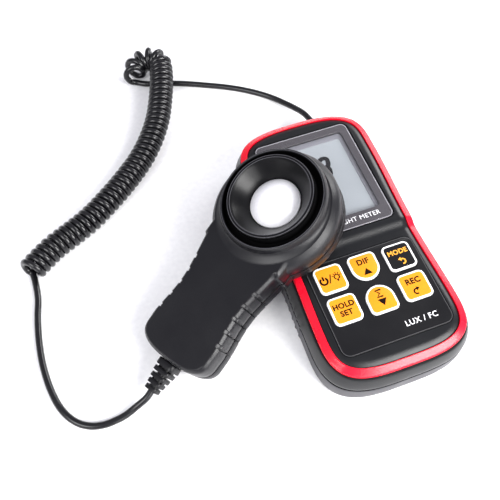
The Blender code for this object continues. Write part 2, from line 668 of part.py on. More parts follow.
def make_probe_rear(look, pose):
    """Lower half of the probe, with two screw bosses."""
    wall = ((0.0, -3.0), (0.3, -1.8), (1.0, -0.8), (2.2, -0.2), (4.0, 0.0), (PROBE_PARTING, 0.0))
    shell = loft("probe_rear", [at_height(probe_outline(offset, False), w) for w, offset in wall], look, pose)
    combine(shell, post("rear_head_hollow", HEAD_SHIFT, 0, 28.6, (2.2, 9.0), parent=pose, sides=36), "DIFFERENCE")
    channel = rounded_rectangle((TAIL_U + 2.9, -15.0), (-16.0, 16.0), 5.0, 4)
    combine(shell, prism("rear_handle_hollow", channel, 2.2, 9.0, parent=pose), "DIFFERENCE")
    for i, u in enumerate(PROBE_SCREWS_U):
        combine(shell, post(f"rear_boss_{i}", u, 0, 3.8, (1.0, PROBE_PARTING), parent=pose), "UNION")
        sink = post(f"rear_sink_{i}", u, 0, SCREW_HEAD_RADIUS + GAP + 0.1, (-1.0, 3.2), parent=pose)
        combine(shell, sink, "DIFFERENCE")
        hole = post(f"rear_hole_{i}", u, 0, SCREW_SHANK_RADIUS + GAP, (2.0, 9.0), parent=pose)
        combine(shell, hole, "DIFFERENCE")
    combine(shell, relief_bore("rear_bore", pose), "DIFFERENCE")
    return shell


def make_bowl(look, pose):
    """Dished ring around the dome, with a thin raised rim."""
    outer = GROOVE_RADII[0] - GAP
    hole = DOME_RADIUS + 0.6
    edge = BOWL_RIM[0] - 0.2
    dish = [(edge - (edge - hole) * math.sin(math.radians(a)),
             18.2 + (BOWL_TOP - 0.7 - 18.2) * math.cos(math.radians(a))) for a in range(90, -1, -18)]
    profile = dish + [(BOWL_RIM[0], BOWL_TOP), (BOWL_RIM[1], BOWL_TOP), (outer, BOWL_TOP - 0.5),
                      (outer, 17.1), (hole, 17.1)]
    return turned("bowl_ring", profile, 36, look, pose, closed=True)


def dome_arc(radius, height, base, steps=5):
    """From the top of a spherical cap down to its rim."""
    ball = (radius * radius + height * height) / (2 * height)
    opening = math.degrees(math.asin(min(radius / ball, 1.0)))
    points = arc((0, base + height - ball), ball, 90, 90 - opening, steps)
    points[0] = (0, base + height)
    return points


def make_sensor(looks, pose):
    """Diffuser dome, filter, photodiode and their board."""
    outer = dome_arc(DOME_RADIUS, DOME_HEIGHT, DOME_BASE)
    inner = dome_arc(DOME_RADIUS - 1.5, DOME_HEIGHT - 1.4, DOME_BASE)[::-1]
    turned("diffuser_dome", outer + [(DOME_RADIUS, 14.6), (DOME_RADIUS - 1.5, 14.6)] + inner, 32,
           looks["dome"], pose)
    post("sensor_filter", 0, 0, 6.0, (12.9, 14.1), looks["filter"], pose, 32)
    box("photodiode", (-4.0, 4.0), (-4.0, 4.0), (11.0, 12.6), looks["diode"], pose)
    post("sensor_board", 0, 0, 20.0, (9.1, 10.7), looks["board"], pose, 40)


def make_probe_screws(look, pose):
    """Two screws that hold the probe's halves together."""
    profile = ((0, 12.6), (0.4, 12.6), (SCREW_SHANK_RADIUS, 11.6), (SCREW_SHANK_RADIUS, 2.9),
               (SCREW_HEAD_RADIUS, 2.9), (SCREW_HEAD_RADIUS, 1.3), (SCREW_HEAD_RADIUS - 0.5, 0.8), (0, 0.8))
    for i, u in enumerate(PROBE_SCREWS_U):
        screw = turned(f"probe_screw_{i + 1}", profile, 12, look, pose)
        screw.location = Vector((u, 0, 0)) * MM
        add_drive(screw, 0.8, pose)


def make_probe_relief(look, pose):
    """Segmented sleeve at the tail, tapering towards the cord."""
    length = TAIL_U - RELIEF_END_U
    profile = [(0, length), (3.1, length)]
    segments = 4
    first = 5.0
    pitch = (length - first) / segments
    for i in range(segments, 0, -1):
        start = first + pitch * (i - 1)
        end = start + pitch if i == segments else start + pitch - 0.2
        radius = 4.7 - 0.4 * i
        profile += [(radius, end), (radius + 0.15, start + 1.3), (2.5, start + 1.1), (2.5, start)]
    profile += [(5.3, first - 0.6), (5.5, 2.0), (5.1, 0.5), (2.5, 0.5), (2.5, -3.3), (3.9, -3.3), (3.9, -4.6),
                (0, -4.6)]
    sleeve = turned("probe_relief", profile, 12, look, pose)
    sleeve.rotation_euler = (0, math.radians(-90), 0)
    sleeve.location = Vector((TAIL_U, 0, RELIEF_AXIS_W)) * MM


def probe_pose():
    """Empty that carries the probe: its tail just off the table, its head on the ring's left edge."""
    tilt, turn = math.radians(PROBE_TILT), math.radians(PROBE_TURN)
    edge_x = RING_EDGE - side_half_width(CONTACT_Y)
    edge_z = face_height(CONTACT_Y) - RING_SLOPE + GAP
    empty = bpy.data.objects.new("probe_pose", None)
    PARTS.objects.link(empty)
    empty.rotation_mode = "ZYX"
    empty.rotation_euler = (0, -tilt, turn)
    empty.location = Vector((HEAD_X, HEAD_Y, edge_z + (HEAD_X - edge_x) * math.tan(tilt))) * MM
    return empty


# ---------------------------------------------------------------- cord

LEAD_TO_PROBE = ((-128.0, -44.2, 3.1), (-133.3, -45.8, 2.0), (-139.0, -46.6, 1.85), (-144.5, -46.6, 1.85),
                 (-150.0, -45.2, 1.85), (-155.2, -41.9, 1.85), (-159.2, -37.0, 1.85), (-162.2, -30.6, 1.85),
                 (-164.2, -22.0, 1.85), (-165.2, -12.0, 1.85), (-165.2, -2.0, 1.85), (-164.2, 9.0, 1.85),
                 (-162.4, 20.0, 1.85), (-160.0, 31.0, 1.85), (-158.1, 39.0, 1.85))
COIL_CENTRES = ((-159.6, 44.2, 7.45), (-153.0, 49.0, 7.45), (-145.0, 54.1, 7.45), (-136.2, 58.2, 7.45),
                (-127.2, 62.4, 7.45), (-119.4, 66.8, 7.45), (-111.9, 72.1, 7.45), (-103.7, 78.2, 7.45),
                (-95.9, 84.6, 7.5), (-88.4, 91.3, 7.6), (-81.7, 98.3, 7.9), (-75.6, 106.0, 8.5),
                (-70.3, 114.0, 9.2), (-66.0, 122.0, 9.9), (-62.2, 131.0, 10.7), (-59.0, 139.6, 11.3),
                (-56.4, 147.8, 11.6), (-54.6, 155.4, 11.6))
CURL_CENTRE = (-62.4, 158.6)
CURL_RADIUS = 8.35
CURL_TURN = 186.0
CURL_STEPS = 12
LEAD_TO_METER = ((-70.8, 155.4, 1.85), (-66.0, 154.6, 1.85), (-60.0, 153.0, 1.85), (-54.0, 151.2, 1.85),
                 (-48.0, 149.0, 1.85), (-40.0, 145.6, 1.85), (-31.5, 141.5, 1.85), (-21.5, 136.4, 1.85),
                 (-11.8, 130.7, 1.85), (-3.0, 124.3, 1.85), (4.5, 117.2, 2.1), (10.2, 109.4, 3.0),
                 (14.2, 101.6, 4.9), (16.6, 94.8, 7.0))


def smooth_route(points, spacing):
    """Evenly spaced points on a Catmull-Rom curve through the route's own points."""
    path = [Vector(point) for point in points]
    path = [path[0] * 2 - path[1]] + path + [path[-1] * 2 - path[-2]]
    fine = []
    for before, start, end, after in zip(path, path[1:], path[2:], path[3:]):
        for i in range(20):
            t = i / 20
            square = (2 * before - 5 * start + 4 * end - after) * t ** 2
            cube = (3 * start - before - 3 * end + after) * t ** 3
            fine.append(0.5 * (2 * start + (end - before) * t + square + cube))
    fine.append(path[-2])
    lengths = [0.0]
    for start, end in zip(fine, fine[1:]):
        lengths.append(lengths[-1] + (end - start).length)
    count = max(2, round(lengths[-1] / spacing))
    even = []
    index = 0
    for i in range(count + 1):
        target = lengths[-1] * i / count
        while index < len(lengths) - 2 and lengths[index + 1] < target:
            index += 1
        share = (target - lengths[index]) / max(lengths[index + 1] - lengths[index], 1e-9)
        even.append(fine[index].lerp(fine[index + 1], min(share, 1.0)))
    return even


def tube(name, points, radius, resolution, look):
    """A filled POLY curve through the points."""
    curve = bpy.data.curves.new(name, "CURVE")
    curve.dimensions = "3D"
    curve.bevel_depth = radius * MM
    curve.bevel_resolution = resolution
    curve.use_fill_caps = True
    spline = curve.splines.new("POLY")
    spline.points.add(len(points) - 1)
    for spot, point in zip(spline.points, points):
        spot.co = (*(point * MM), 1.0)
    return link_object(name, curve, look)


def coil_route():
    """The coil's centre line with the tight curl at its far end."""
    points = list(COIL_CENTRES)
    for i in range(CURL_STEPS + 1):
        angle = math.radians(CURL_TURN * i / CURL_STEPS)
        drop = 4.1 * smoothstep(i / CURL_STEPS)
        points.append((CURL_CENTRE[0] + CURL_RADIUS * math.cos(angle),
                       CURL_CENTRE[1] + CURL_RADIUS * math.sin(angle), 11.6 - drop))
    return points


def make_cord(looks, pose):
    """The two straight leads and the coil between them, as plain outer shapes."""
    bpy.context.view_layer.update()
    tip = pose.matrix_world @ (Vector((RELIEF_END_U - GAP, 0, RELIEF_AXIS_W)) * MM) / MM
    back = pose.matrix_world.to_3x3() @ Vector((-1, 0, 0))
    tube("lead_to_probe", smooth_route([tip, tip + back * 4.5] + list(LEAD_TO_PROBE), 7.0), CORD_RADIUS, 2,
         looks["cord"])
    tube("cord_coil", smooth_route(coil_route(), 4.4), COIL_RADIUS, 3, looks["cord"])
    socket = Vector((ENTRY_X, entry_face_y() + ENTRY_LENGTH + GAP, ENTRY_Z))
    route = list(LEAD_TO_METER) + [socket + Vector((-0.2, 3.0, -0.4)), socket]
    tube("lead_to_meter", smooth_route(route, 7.0), CORD_RADIUS, 2, looks["cord"])


# ---------------------------------------------------------------- assembly

def make_looks():
    """One material for each kind of surface."""
    return {
        "shell": material("case_black", (0.018, 0.018, 0.02), 0.42),
        "rear": material("rear_black", (0.024, 0.024, 0.026), 0.5),
        "ring": material("trim_red", (0.72, 0.012, 0.03), 0.3),
        "overlay": material("overlay_black", (0.012, 0.012, 0.013), 0.35),
        "key": material("key_amber", (0.95, 0.5, 0.03), 0.4),
        "key_dark": material("key_black", (0.015, 0.015, 0.016), 0.4),
        "window": material("window_clear", (0.75, 0.78, 0.8), 0.08, alpha=0.35),
        "lcd": material("lcd_glass", (0.55, 0.6, 0.6), 0.2),
        "backlight": material("backlight_white", (0.85, 0.87, 0.85), 0.5),
        "inner": material("inner_plastic", (0.05, 0.05, 0.05), 0.6),
        "rubber": material("key_rubber", (0.3, 0.3, 0.3), 0.8),
        "board": material("board_green", (0.02, 0.2, 0.08), 0.5),
        "cell": material("cell_wrap", (0.1, 0.12, 0.3), 0.4),
        "metal": material("contact_metal", (0.7, 0.7, 0.68), 0.3, 1.0),
        "probe": material("probe_black", (0.02, 0.02, 0.022), 0.45),
        "bowl": material("bowl_black", (0.012, 0.012, 0.013), 0.4),
        "dome": material("dome_white", (0.93, 0.93, 0.95), 0.35),
        "filter": material("filter_glass", (0.25, 0.45, 0.35), 0.1),
        "diode": material("diode_dark", (0.05, 0.05, 0.08), 0.2),
        "cord": material("cord_black", (0.012, 0.012, 0.014), 0.4),
        "relief": material("relief_black", (0.015, 0.015, 0.016), 0.5),
    }


def main():
    looks = make_looks()
    make_rear_case(looks["rear"])
    make_front_case(looks["shell"])
    make_trim_ring(looks["ring"])
    make_display(looks)
    make_keypad(looks)
    make_electronics(looks)
    make_cells(looks)
    make_contacts(looks)
    make_battery_door(looks["rear"])
    make_case_screws(looks["metal"])
    make_entry_relief(looks["relief"])
    pose = probe_pose()
    make_probe_front(looks["probe"], pose)
    make_probe_rear(looks["probe"], pose)
    make_bowl(looks["bowl"], pose)
    make_sensor(looks, pose)
    make_probe_screws(looks["metal"], pose)
    make_probe_relief(looks["relief"], pose)
    make_cord(looks, pose)


main()
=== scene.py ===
"""Looks of the light meter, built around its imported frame.

Lengths are in millimetres and are turned into metres where a mesh is made. The meter's frame is the CAD's:
origin at the centre of its back, +X right, +Y to the display end, +Z out of the display. The probe has its
own frame: origin under the centre of its head, u from the handle to the head, v across, w out of its face.
"""
from math import asin, copysign, cos, degrees, pi, radians, sin, tan

import bmesh
import bpy
from mathutils import Euler, Matrix, Vector


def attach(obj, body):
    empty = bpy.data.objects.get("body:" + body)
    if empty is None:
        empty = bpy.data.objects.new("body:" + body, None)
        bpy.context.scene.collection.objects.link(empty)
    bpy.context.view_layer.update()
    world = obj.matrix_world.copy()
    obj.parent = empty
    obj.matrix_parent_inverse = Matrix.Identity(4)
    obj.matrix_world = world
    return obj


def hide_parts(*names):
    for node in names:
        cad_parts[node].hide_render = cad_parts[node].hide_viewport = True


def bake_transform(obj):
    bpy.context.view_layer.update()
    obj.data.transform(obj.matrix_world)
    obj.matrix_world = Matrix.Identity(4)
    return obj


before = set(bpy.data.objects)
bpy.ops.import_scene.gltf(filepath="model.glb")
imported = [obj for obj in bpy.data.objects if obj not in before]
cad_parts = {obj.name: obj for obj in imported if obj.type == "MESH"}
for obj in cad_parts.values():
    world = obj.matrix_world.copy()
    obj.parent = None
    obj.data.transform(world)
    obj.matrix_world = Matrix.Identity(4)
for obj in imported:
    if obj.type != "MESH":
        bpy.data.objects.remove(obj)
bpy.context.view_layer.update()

MM = 0.001

# Meter case
END_HALF_WIDTH = 36.9
WAIST_HALF_WIDTH = 35.4
WAIST_Y = -6.0
WAIST_RUN = 50.0
TOP_CORNER_Y = 50.0
TOP_Y = 75.7
TOP_POWER = 2.8
BOTTOM_CORNER_Y = -48.0
BOTTOM_Y = -75.7
BOTTOM_POWER = 3.4
END_STEPS = 56
SIDE_STATIONS = [BOTTOM_CORNER_Y + 1.0 + 0.98 * i for i in range(98)]
STEP_Y = (-9.4, -3.0)
PARTING_Z = 13.0
BULGE = 3.2
KEYPAD_Z = 26.3
DISPLAY_Z = 28.4
GAP = 0.3
RING_WIDTH = 3.7
RING_DEPTH = 3.2
RING_SLOPE = 1.4
PLATE_INSET = RING_WIDTH + GAP
PLATE_FALL = 0.75  # how far the face plate rounds down towards the ring
GRIP_Y = (-42.5, -6.5)  # where the case's sides are scalloped
GRIP_PITCH = 5.1
GRIP_HEIGHT = 0.85
SCREW_PLACES = [(x, y) for x in (-30.8, 30.8) for y in (-50.0, 55.0)]

# Display
WINDOW_HALF = 27.0
WINDOW_Y = (-0.8, 64.0)
WINDOW_CORNER = 3.5
WINDOW_MOAT = 0.7  # dark gap around the window
WINDOW_THICKNESS = 1.5
WINDOW_TOP = 28.8
VIEW_HALF = 22.6
VIEW_Y = (7.4, 59.4)
LCD_TOP = 26.1
LCD_HALF = 24.5
LCD_Y = (6.9, 60.1)
DIGIT_PITCH = 10.4
DIGIT_RIGHT = 9.7  # right edge of the last digit
DIGIT_BARS = (34.4, 40.4, 46.4)
DIGIT_LEAN = 0.2
SEGMENT_WIDTH = 2.5

# Keys: name, centre, outline
KEY_SIZE = 14.8
KEY_CORNER = 2.8
KEY_TOP = 27.0
KEY_EDGE = 0.35  # rounding of a key's upper edge
KEY_FLANGE_Z = (22.9, 23.9)
KEYS = (("power", -18.7, -23.1, "square"), ("difference", 0.0, -22.6, "round_bottom"),
        ("mode", 18.7, -23.1, "square"), ("hold", -18.7, -40.5, "square"),
        ("sum", 0.0, -41.2, "round_top"), ("record", 18.7, -40.5, "square"))
OVERLAY_HALF = 29.2
OVERLAY_Y = (-63.6, -13.2)
OVERLAY_CORNER = 4.6
OVERLAY_TOP = 26.4
OVERLAY_THICKNESS = 0.5

# Battery bay
BAY_HALF = 17.8
BAY_Y = (-60.4, -11.0)
DOOR_HALF = 19.3
DOOR_Y = (-61.8, -9.5)
DOOR_TOP = 2.0

# Where the cord enters the meter
ENTRY_X = 18.0
ENTRY_Z = 8.6
ENTRY_LENGTH = 7.3

# Probe
PROBE_TILT = 21.0
PROBE_TURN = 30.8
HEAD_X = -27.3
HEAD_Y = 15.5
CONTACT_Y = 42.0
RING_EDGE = 0.6
HEAD_RADIUS = 33.2
HEAD_SHIFT = -2.6  # round body's centre, towards the handle from the dome's axis
HEAD_EASE = 1.7  # how far the head's upper edge is rounded in
NECK_HALF = 24.2
NECK_END = -31.0
NECK_CORNER = 1.5
WAIST_HALF = 19.3
WAIST_U = -56.5
NECK_FLARE = 4.2
NECK_RUN = 34.0
TAIL_HALF = 21.0
TAIL_CORNER_U = -78.0
TAIL_U = -92.0
TAIL_POWER = 2.7
PROBE_PARTING = 7.8
PROBE_TOP = 18.6
GRIP_GROOVES = [-42.7 - 7.35 * i for i in range(5)]
COLLAR_RADIUS = 27.6
COLLAR_TOP = 24.4
FLARE_RADIUS = 2.8
GROOVE_RADII = (22.3, 25.5)
GROOVE_FLOOR = 20.4
BOWL_TOP = 27.4
BOWL_RIM = (20.4, 21.7)
DOME_RADIUS = 12.9
DOME_BASE = 18.3
DOME_HEIGHT = 6.0
RELIEF_W = 10.2
RELIEF_END_U = -108.5

# Cord
CORD_RADIUS = 1.75
COIL_RADIUS = 7.3
COIL_PITCH = 3.62
CURL_PITCH = 5.2
LEAD_Z = 1.85  # the wire's centre where it lies on the table
POINTS_PER_TURN = 26

FLAT_AREA = 150.0  # square millimetres

# Camera, floor
CAMERA_PLACE = (-109.41, -154.14, 330.09)
CAMERA_RIGHT = (0.9385, -0.3453, 0.0003)
CAMERA_UP = (0.3007, 0.8178, 0.4906)
CAMERA_LENS = 49.65


# ---- meshes

def smoothstep(t):
    t = min(max(t, 0.0), 1.0)
    return t * t * (3 - 2 * t)


def between(x, table):
    """Linear interpolation in a table of (x, value) pairs with rising x."""
    if x <= table[0][0]:
        return table[0][1]
    for (low, start), (high, end) in zip(table, table[1:]):
        if x <= high:
            return start + (end - start) * (x - low) / (high - low)
    return table[-1][1]


def arc(centre, radius, start, end, count):
    """Points of a circular arc, in degrees."""
    angles = [radians(start + (end - start) * i / count) for i in range(count + 1)]
    return [(centre[0] + radius * cos(a), centre[1] + radius * sin(a)) for a in angles]


def rounded_box(x_range, y_range, radius, steps=8):
    """A rectangle's outline with round corners, anticlockwise."""
    left, right = x_range[0] + radius, x_range[1] - radius
    low, high = y_range[0] + radius, y_range[1] - radius
    return (arc((right, high), radius, 0, 90, steps) + arc((left, high), radius, 90, 180, steps)
            + arc((left, low), radius, 180, 270, steps) + arc((right, low), radius, 270, 360, steps))


def shifted(points, distance):
    """An anticlockwise outline moved outwards along its own normals."""
    moved = []
    for i, (x, y) in enumerate(points):
        before, after = points[i - 1], points[(i + 1) % len(points)]
        along = Vector((after[0] - before[0], after[1] - before[1])).normalized()
        moved.append((x + along.y * distance, y - along.x * distance))
    return moved


def at_height(points, z):
    return [(x, y, z) for x, y in points]


def add_loft(bm, rings, closed=False, caps=True):
    """Skins rings of points with the same count into a bmesh, and returns their vertices."""
    loops = [[bm.verts.new(Vector(point) * MM) for point in ring] for ring in rings]
    for low, high in zip(loops, loops[1:] + loops[:1] if closed else loops[1:]):
        for i, start in enumerate(low):
            j = (i + 1) % len(low)
            bm.faces.new((start, low[j], high[j], high[i]))
    if caps and not closed:
        bm.faces.new(loops[0][::-1])
        bm.faces.new(loops[-1])
    return loops


def add_prism(bm, points, low, high):
    add_loft(bm, [at_height(points, low), at_height(points, high)])


def add_object(name, data):
    obj = bpy.data.objects.new(name, data)
    bpy.context.scene.collection.objects.link(obj)
    return obj


def solid(name, bm):
    """Link a bmesh as an object with outward faces."""
    bmesh.ops.recalc_face_normals(bm, faces=bm.faces)
    mesh = bpy.data.meshes.new(name)
    bm.to_mesh(mesh)
    bm.free()
    return add_object(name, mesh)


def loft(name, rings, closed=False):
    bm = bmesh.new()
    add_loft(bm, rings, closed)
    return solid(name, bm)


def prism(name, points, low, high):
    return loft(name, [at_height(points, low), at_height(points, high)])


def rounded_edge(points, high, rounding, angles):
    """Rings that round an outline's upper edge over."""
    rings = [at_height(points, high - rounding)]
    for angle in map(radians, angles):
        inset, rise = rounding * (1 - cos(angle)), rounding * sin(angle)
        rings.append(at_height(shifted(points, -inset), high - rounding + rise))
    return rings


def slab(name, points, low, high, rounding=0.15):
    """A prism with its upper edge rounded."""
    return loft(name, [at_height(points, low)] + rounded_edge(points, high, rounding, (30, 60, 90)))


def block(name, half, y_range, low, high):
    near, far = y_range
    return prism(name, [(-half, near), (half, near), (half, far), (-half, far)], low, high)


def post(name, x, y, radius, low, high, sides=32):
    return prism(name, arc((x, y), radius, 0, 360 - 360 / sides, sides - 1), low, high)


def turned(name, profile, sides=96, closed=False):
    """A profile of (radius, height) turned about Z; unless closed it starts and ends on the axis."""
    bm = bmesh.new()
    rim = profile if closed else profile[1:-1]
    angles = [2 * pi * i / sides for i in range(sides)]
    rings = [[(r * cos(a), r * sin(a), z) for a in angles] for r, z in rim]
    loops = add_loft(bm, rings, closed, caps=False)
    if not closed:
        for loop, (_, z) in ((loops[0], profile[0]), (loops[-1], profile[-1])):
            tip = bm.verts.new((0, 0, z * MM))
            for i, vert in enumerate(loop):
                bm.faces.new((vert, loop[(i + 1) % sides], tip))
    return solid(name, bm)


def evaluated_mesh(obj):
    return bpy.data.meshes.new_from_object(obj.evaluated_get(bpy.context.evaluated_depsgraph_get()))


def combine(target, tool, operation):
    """Apply an exact Boolean and remove the tool."""
    modifier = target.modifiers.new(operation, "BOOLEAN")
    modifier.operation = operation
    modifier.object = tool
    result = evaluated_mesh(target)
    target.modifiers.remove(modifier)
    target.data = result
    bpy.data.objects.remove(tool, do_unlink=True)
    return target


def cut(target, *tools):
    for tool in tools:
        combine(target, tool, "DIFFERENCE")


def shade(obj, angle=32):
    """Smooth faces, with the edges sharper than the angle left crisp and the broad flat faces left flat."""
    mesh = obj.data
    mesh.shade_smooth()
    mesh.set_sharp_from_angle(angle=radians(angle))
    for face in mesh.polygons:
        face.use_smooth = face.area < FLAT_AREA * MM * MM


def paint(obj, look):
    obj.data.materials.clear()
    obj.data.materials.append(look)


def place(obj, look, slot, body, *nodes, angle=32):
    """Shade a finished piece, give it its material and the body it rides on, and hide the CAD nodes it
    replaces; the slot is not used.
    """
    shade(obj, angle)
    paint(obj, look)
    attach(obj, body)
    if nodes:
        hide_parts(*nodes)


# ---- materials

def set_sockets(node, **values):
    """Set a node's inputs; a socket's name has _ for each space."""
    for name, value in values.items():
        node.inputs[name.replace("_", " ")].default_value = value


def plastic(name, colour, roughness, grain=1500.0, bump=0.12, mottle=0.07, specular=0.5, coat=0.0, alpha=1.0,
            **sockets):
    """Moulded plastic: a fine grain in its surface, and slow changes of gloss and tone."""
    made = bpy.data.materials.new(name)
    made.use_nodes = True
    nodes = made.node_tree.nodes
    shader = nodes["Principled BSDF"]
    set_sockets(shader, Specular_IOR_Level=specular, Coat_Weight=coat, Coat_Roughness=0.12, Alpha=alpha,
                **sockets)
    where = nodes.new("ShaderNodeTexCoord")
    slow, fine = nodes.new("ShaderNodeTexNoise"), nodes.new("ShaderNodeTexNoise")
    set_sockets(slow, Scale=55.0, Detail=4.0)
    set_sockets(fine, Scale=grain, Detail=3.0)
    gloss = nodes.new("ShaderNodeMapRange")
    set_sockets(gloss, From_Min=0.3, From_Max=0.7, To_Min=roughness - mottle, To_Max=roughness + mottle)
    tone = nodes.new("ShaderNodeMix")
    tone.data_type = "RGBA"
    set_sockets(tone, A=(*[c * 0.9 for c in colour], 1.0), B=(*[min(c * 1.1, 1.0) for c in colour], 1.0))
    relief = nodes.new("ShaderNodeBump")
    set_sockets(relief, Strength=bump, Distance=0.0003)
    for start, output, end, socket in ((where, "Object", slow, "Vector"), (where, "Object", fine, "Vector"),
                                       (slow, "Fac", gloss, "Value"), (gloss, "Result", shader, "Roughness"),
                                       (fine, "Fac", tone, "Factor"), (tone, "Result", shader, "Base Color"),
                                       (fine, "Fac", relief, "Height"), (relief, "Normal", shader, "Normal")):
        made.node_tree.links.new(start.outputs[output], end.inputs[socket])
    return made


def make_looks():
    return {
        "case": plastic("case_plastic", (0.0055, 0.006, 0.007), 0.34, bump=0.14, specular=0.34),
        "rear": plastic("rear_plastic", (0.027, 0.026, 0.032), 0.42, bump=0.18, specular=0.5),
        "ring": plastic("ring_plastic", (0.80, 0.004, 0.022), 0.27, bump=0.03, mottle=0.04, specular=0.34,
                        coat=0.08),
        "overlay": plastic("overlay_film", (0.0045, 0.0045, 0.0055), 0.4, grain=2200.0, bump=0.1,
                           specular=0.24),
        # painted highlight: grey for the light line along the keypad film's edge
        "outline": plastic("overlay_edge_highlight", (0.06, 0.06, 0.063), 0.4, bump=0.03, specular=0.3),
        "key_rim": plastic("key_border", (0.92, 0.92, 0.93), 0.34, bump=0.05),
        "key_face": plastic("key_amber_face", (0.76, 0.258, 0.0085), 0.4, bump=0.06, specular=0.35),
        "key_dark": plastic("key_black_face", (0.005, 0.005, 0.006), 0.38, bump=0.06, specular=0.25),
        "ink_dark": plastic("legend_dark", (0.007, 0.003, 0.002), 0.5, bump=0.0, specular=0.08),
        "ink_amber": plastic("legend_amber", (0.85, 0.36, 0.03), 0.45, bump=0.03),
        "ink_white": plastic("lettering_white", (0.88, 0.88, 0.9), 0.45, bump=0.03),
        "window": plastic("window_pane", (0.25, 0.25, 0.27), 0.06, grain=300.0, bump=0.01, mottle=0.02,
                          alpha=0.06, IOR=1.5),
        "border": plastic("window_border", (0.046, 0.041, 0.047), 0.34, bump=0.04, specular=0.45),
        # painted highlight: light grey for the bright line along the window's edge
        "border_highlight": plastic("window_edge_highlight", (0.34, 0.33, 0.36), 0.4, bump=0.03),
        "lcd": plastic("display_glass", (0.345, 0.375, 0.40), 0.5, grain=2500.0, bump=0.02, specular=0.25),
        # painted shade: darker grey for the band round the display glass under the window's border
        "lcd_edge_shade": plastic("display_edge_shade", (0.22, 0.22, 0.25), 0.45, bump=0.03, specular=0.25),
        "segment": plastic("display_segments", (0.001, 0.001, 0.0015), 0.6, bump=0.0, specular=0.03),
        "inner": plastic("inner_black", (0.03, 0.03, 0.03), 0.55),
        "mat": plastic("silicone", (0.3, 0.3, 0.3), 0.7, grain=900.0),
        "board": plastic("board_lacquer", (0.012, 0.12, 0.045), 0.35, grain=700.0, coat=0.3),
        "cell": plastic("cell_sleeve", (0.03, 0.05, 0.2), 0.3, bump=0.03, coat=0.3),
        "metal": plastic("plated_steel", (0.7, 0.7, 0.68), 0.28, grain=900.0, bump=0.05, mottle=0.1,
                         Metallic=1.0),
        "probe": plastic("probe_plastic", (0.005, 0.005, 0.0065), 0.36, bump=0.18, specular=0.34),
        # painted shade: near-black for the deep groove round the bowl and the gaps between the halves
        "groove": plastic("groove_shade", (0.0012, 0.0012, 0.0014), 0.7, bump=0.0, specular=0.05),
        "bowl": plastic("bowl_plastic", (0.0015, 0.0015, 0.002), 0.3, bump=0.04, mottle=0.04, specular=0.24),
        # painted highlight: light grey for the bright lines on the probe's rims
        "rim_highlight": plastic("painted_rim_highlight", (0.085, 0.085, 0.095), 0.3, bump=0.0, specular=0.5),
        "dome": plastic("opal_diffuser", (0.90, 0.90, 0.945), 0.3, grain=600.0, bump=0.02),
        "filter": plastic("filter_pane", (0.15, 0.35, 0.25), 0.1, bump=0.01, alpha=0.6),
        "diode": plastic("diode_window", (0.03, 0.03, 0.06), 0.15, bump=0.01),
        "cord": plastic("cord_jacket", (0.0045, 0.0045, 0.0055), 0.24, grain=1100.0, bump=0.07, mottle=0.05,
                        specular=0.42),
        "relief": plastic("relief_rubber", (0.004, 0.004, 0.005), 0.36, bump=0.15, specular=0.28),
    }


# ---- camera, floor and light

def make_camera():
    data = bpy.data.cameras.new("camera")
    data.lens = CAMERA_LENS
    data.sensor_width = 36.0
    data.clip_start = 0.01
    right, up = Vector(CAMERA_RIGHT), Vector(CAMERA_UP)
    turn = Matrix((right, up, right.cross(up))).transposed().to_4x4()
    camera = add_object("camera", data)
    camera.matrix_world = Matrix.Translation(Vector(CAMERA_PLACE) * MM) @ turn
    bpy.context.scene.camera = camera


def make_floor():
    bm = bmesh.new()
    bmesh.ops.create_grid(bm, x_segments=4, y_segments=4, size=3.0)
    floor = solid("floor", bm)
    paper = plastic("white_paper", (0.93, 0.93, 0.945), 0.8, grain=400.0, bump=0.0, specular=0.1)
    floor.data.materials.append(paper)


def area_light(name, place_mm, target_mm, size_mm, watts, colour=(1.0, 1.0, 1.0)):
    data = bpy.data.lights.new(name, "AREA")
    data.shape = "RECTANGLE"
    data.size, data.size_y = size_mm[0] * MM, size_mm[1] * MM
    data.energy = watts
    data.color = colour
    light = add_object(name, data)
    spot, target = Vector(place_mm) * MM, Vector(target_mm) * MM
    light.location = spot
    light.rotation_euler = (target - spot).to_track_quat("-Z", "Y").to_euler()


def make_light():
    """A white tent with four soft lights: by the camera, behind on the right, in front and on the left."""
    scene = bpy.context.scene
    scene.view_settings.view_transform = "Standard"
    world = bpy.data.worlds.new("tent")
    scene.world = world
    world.use_nodes = True
    set_sockets(world.node_tree.nodes["Background"], Color=(0.90, 0.89, 1.0, 1.0), Strength=0.56)
    area_light("key_light", (342, -576, 603), (-40, 20, 0), (460, 460), 11.0, (1.0, 0.99, 0.98))
    area_light("side_light", (800, 460, 460), (20, 0, 20), (500, 400), 6.5)
    area_light("front_light", (240, -640, 320), (-20, -20, 20), (760, 200), 4.5)
    area_light("left_light", (-640, -290, 610), (-60, 20, 0), (480, 480), 5.5)


# ---- meter case

def side_half_width(y):
    run = min(abs(y - WAIST_Y) / WAIST_RUN, 1.0)
    return WAIST_HALF_WIDTH + (END_HALF_WIDTH - WAIST_HALF_WIDTH) * (1 - cos(pi * run)) / 2


def grip_scallop(y):
    """Height of the rounded finger grips along the case's sides."""
    low, high = GRIP_Y
    fade = smoothstep((y - low) / 5.0) * smoothstep((high - y) / 5.0)
    return fade * (abs(sin(pi * (y - low) / GRIP_PITCH)) - 0.75) * GRIP_HEIGHT


def end_curve(power, steps):
    """Half a superellipse over a rounded end, as pairs of reach across and rise towards the end."""
    angles = [pi * i / steps for i in range(steps + 1)]
    return [(abs(cos(a)) ** (2 / power) * (1 if a < pi / 2 else -1),
             max(sin(a), 0.0) ** (2 / power)) for a in angles]


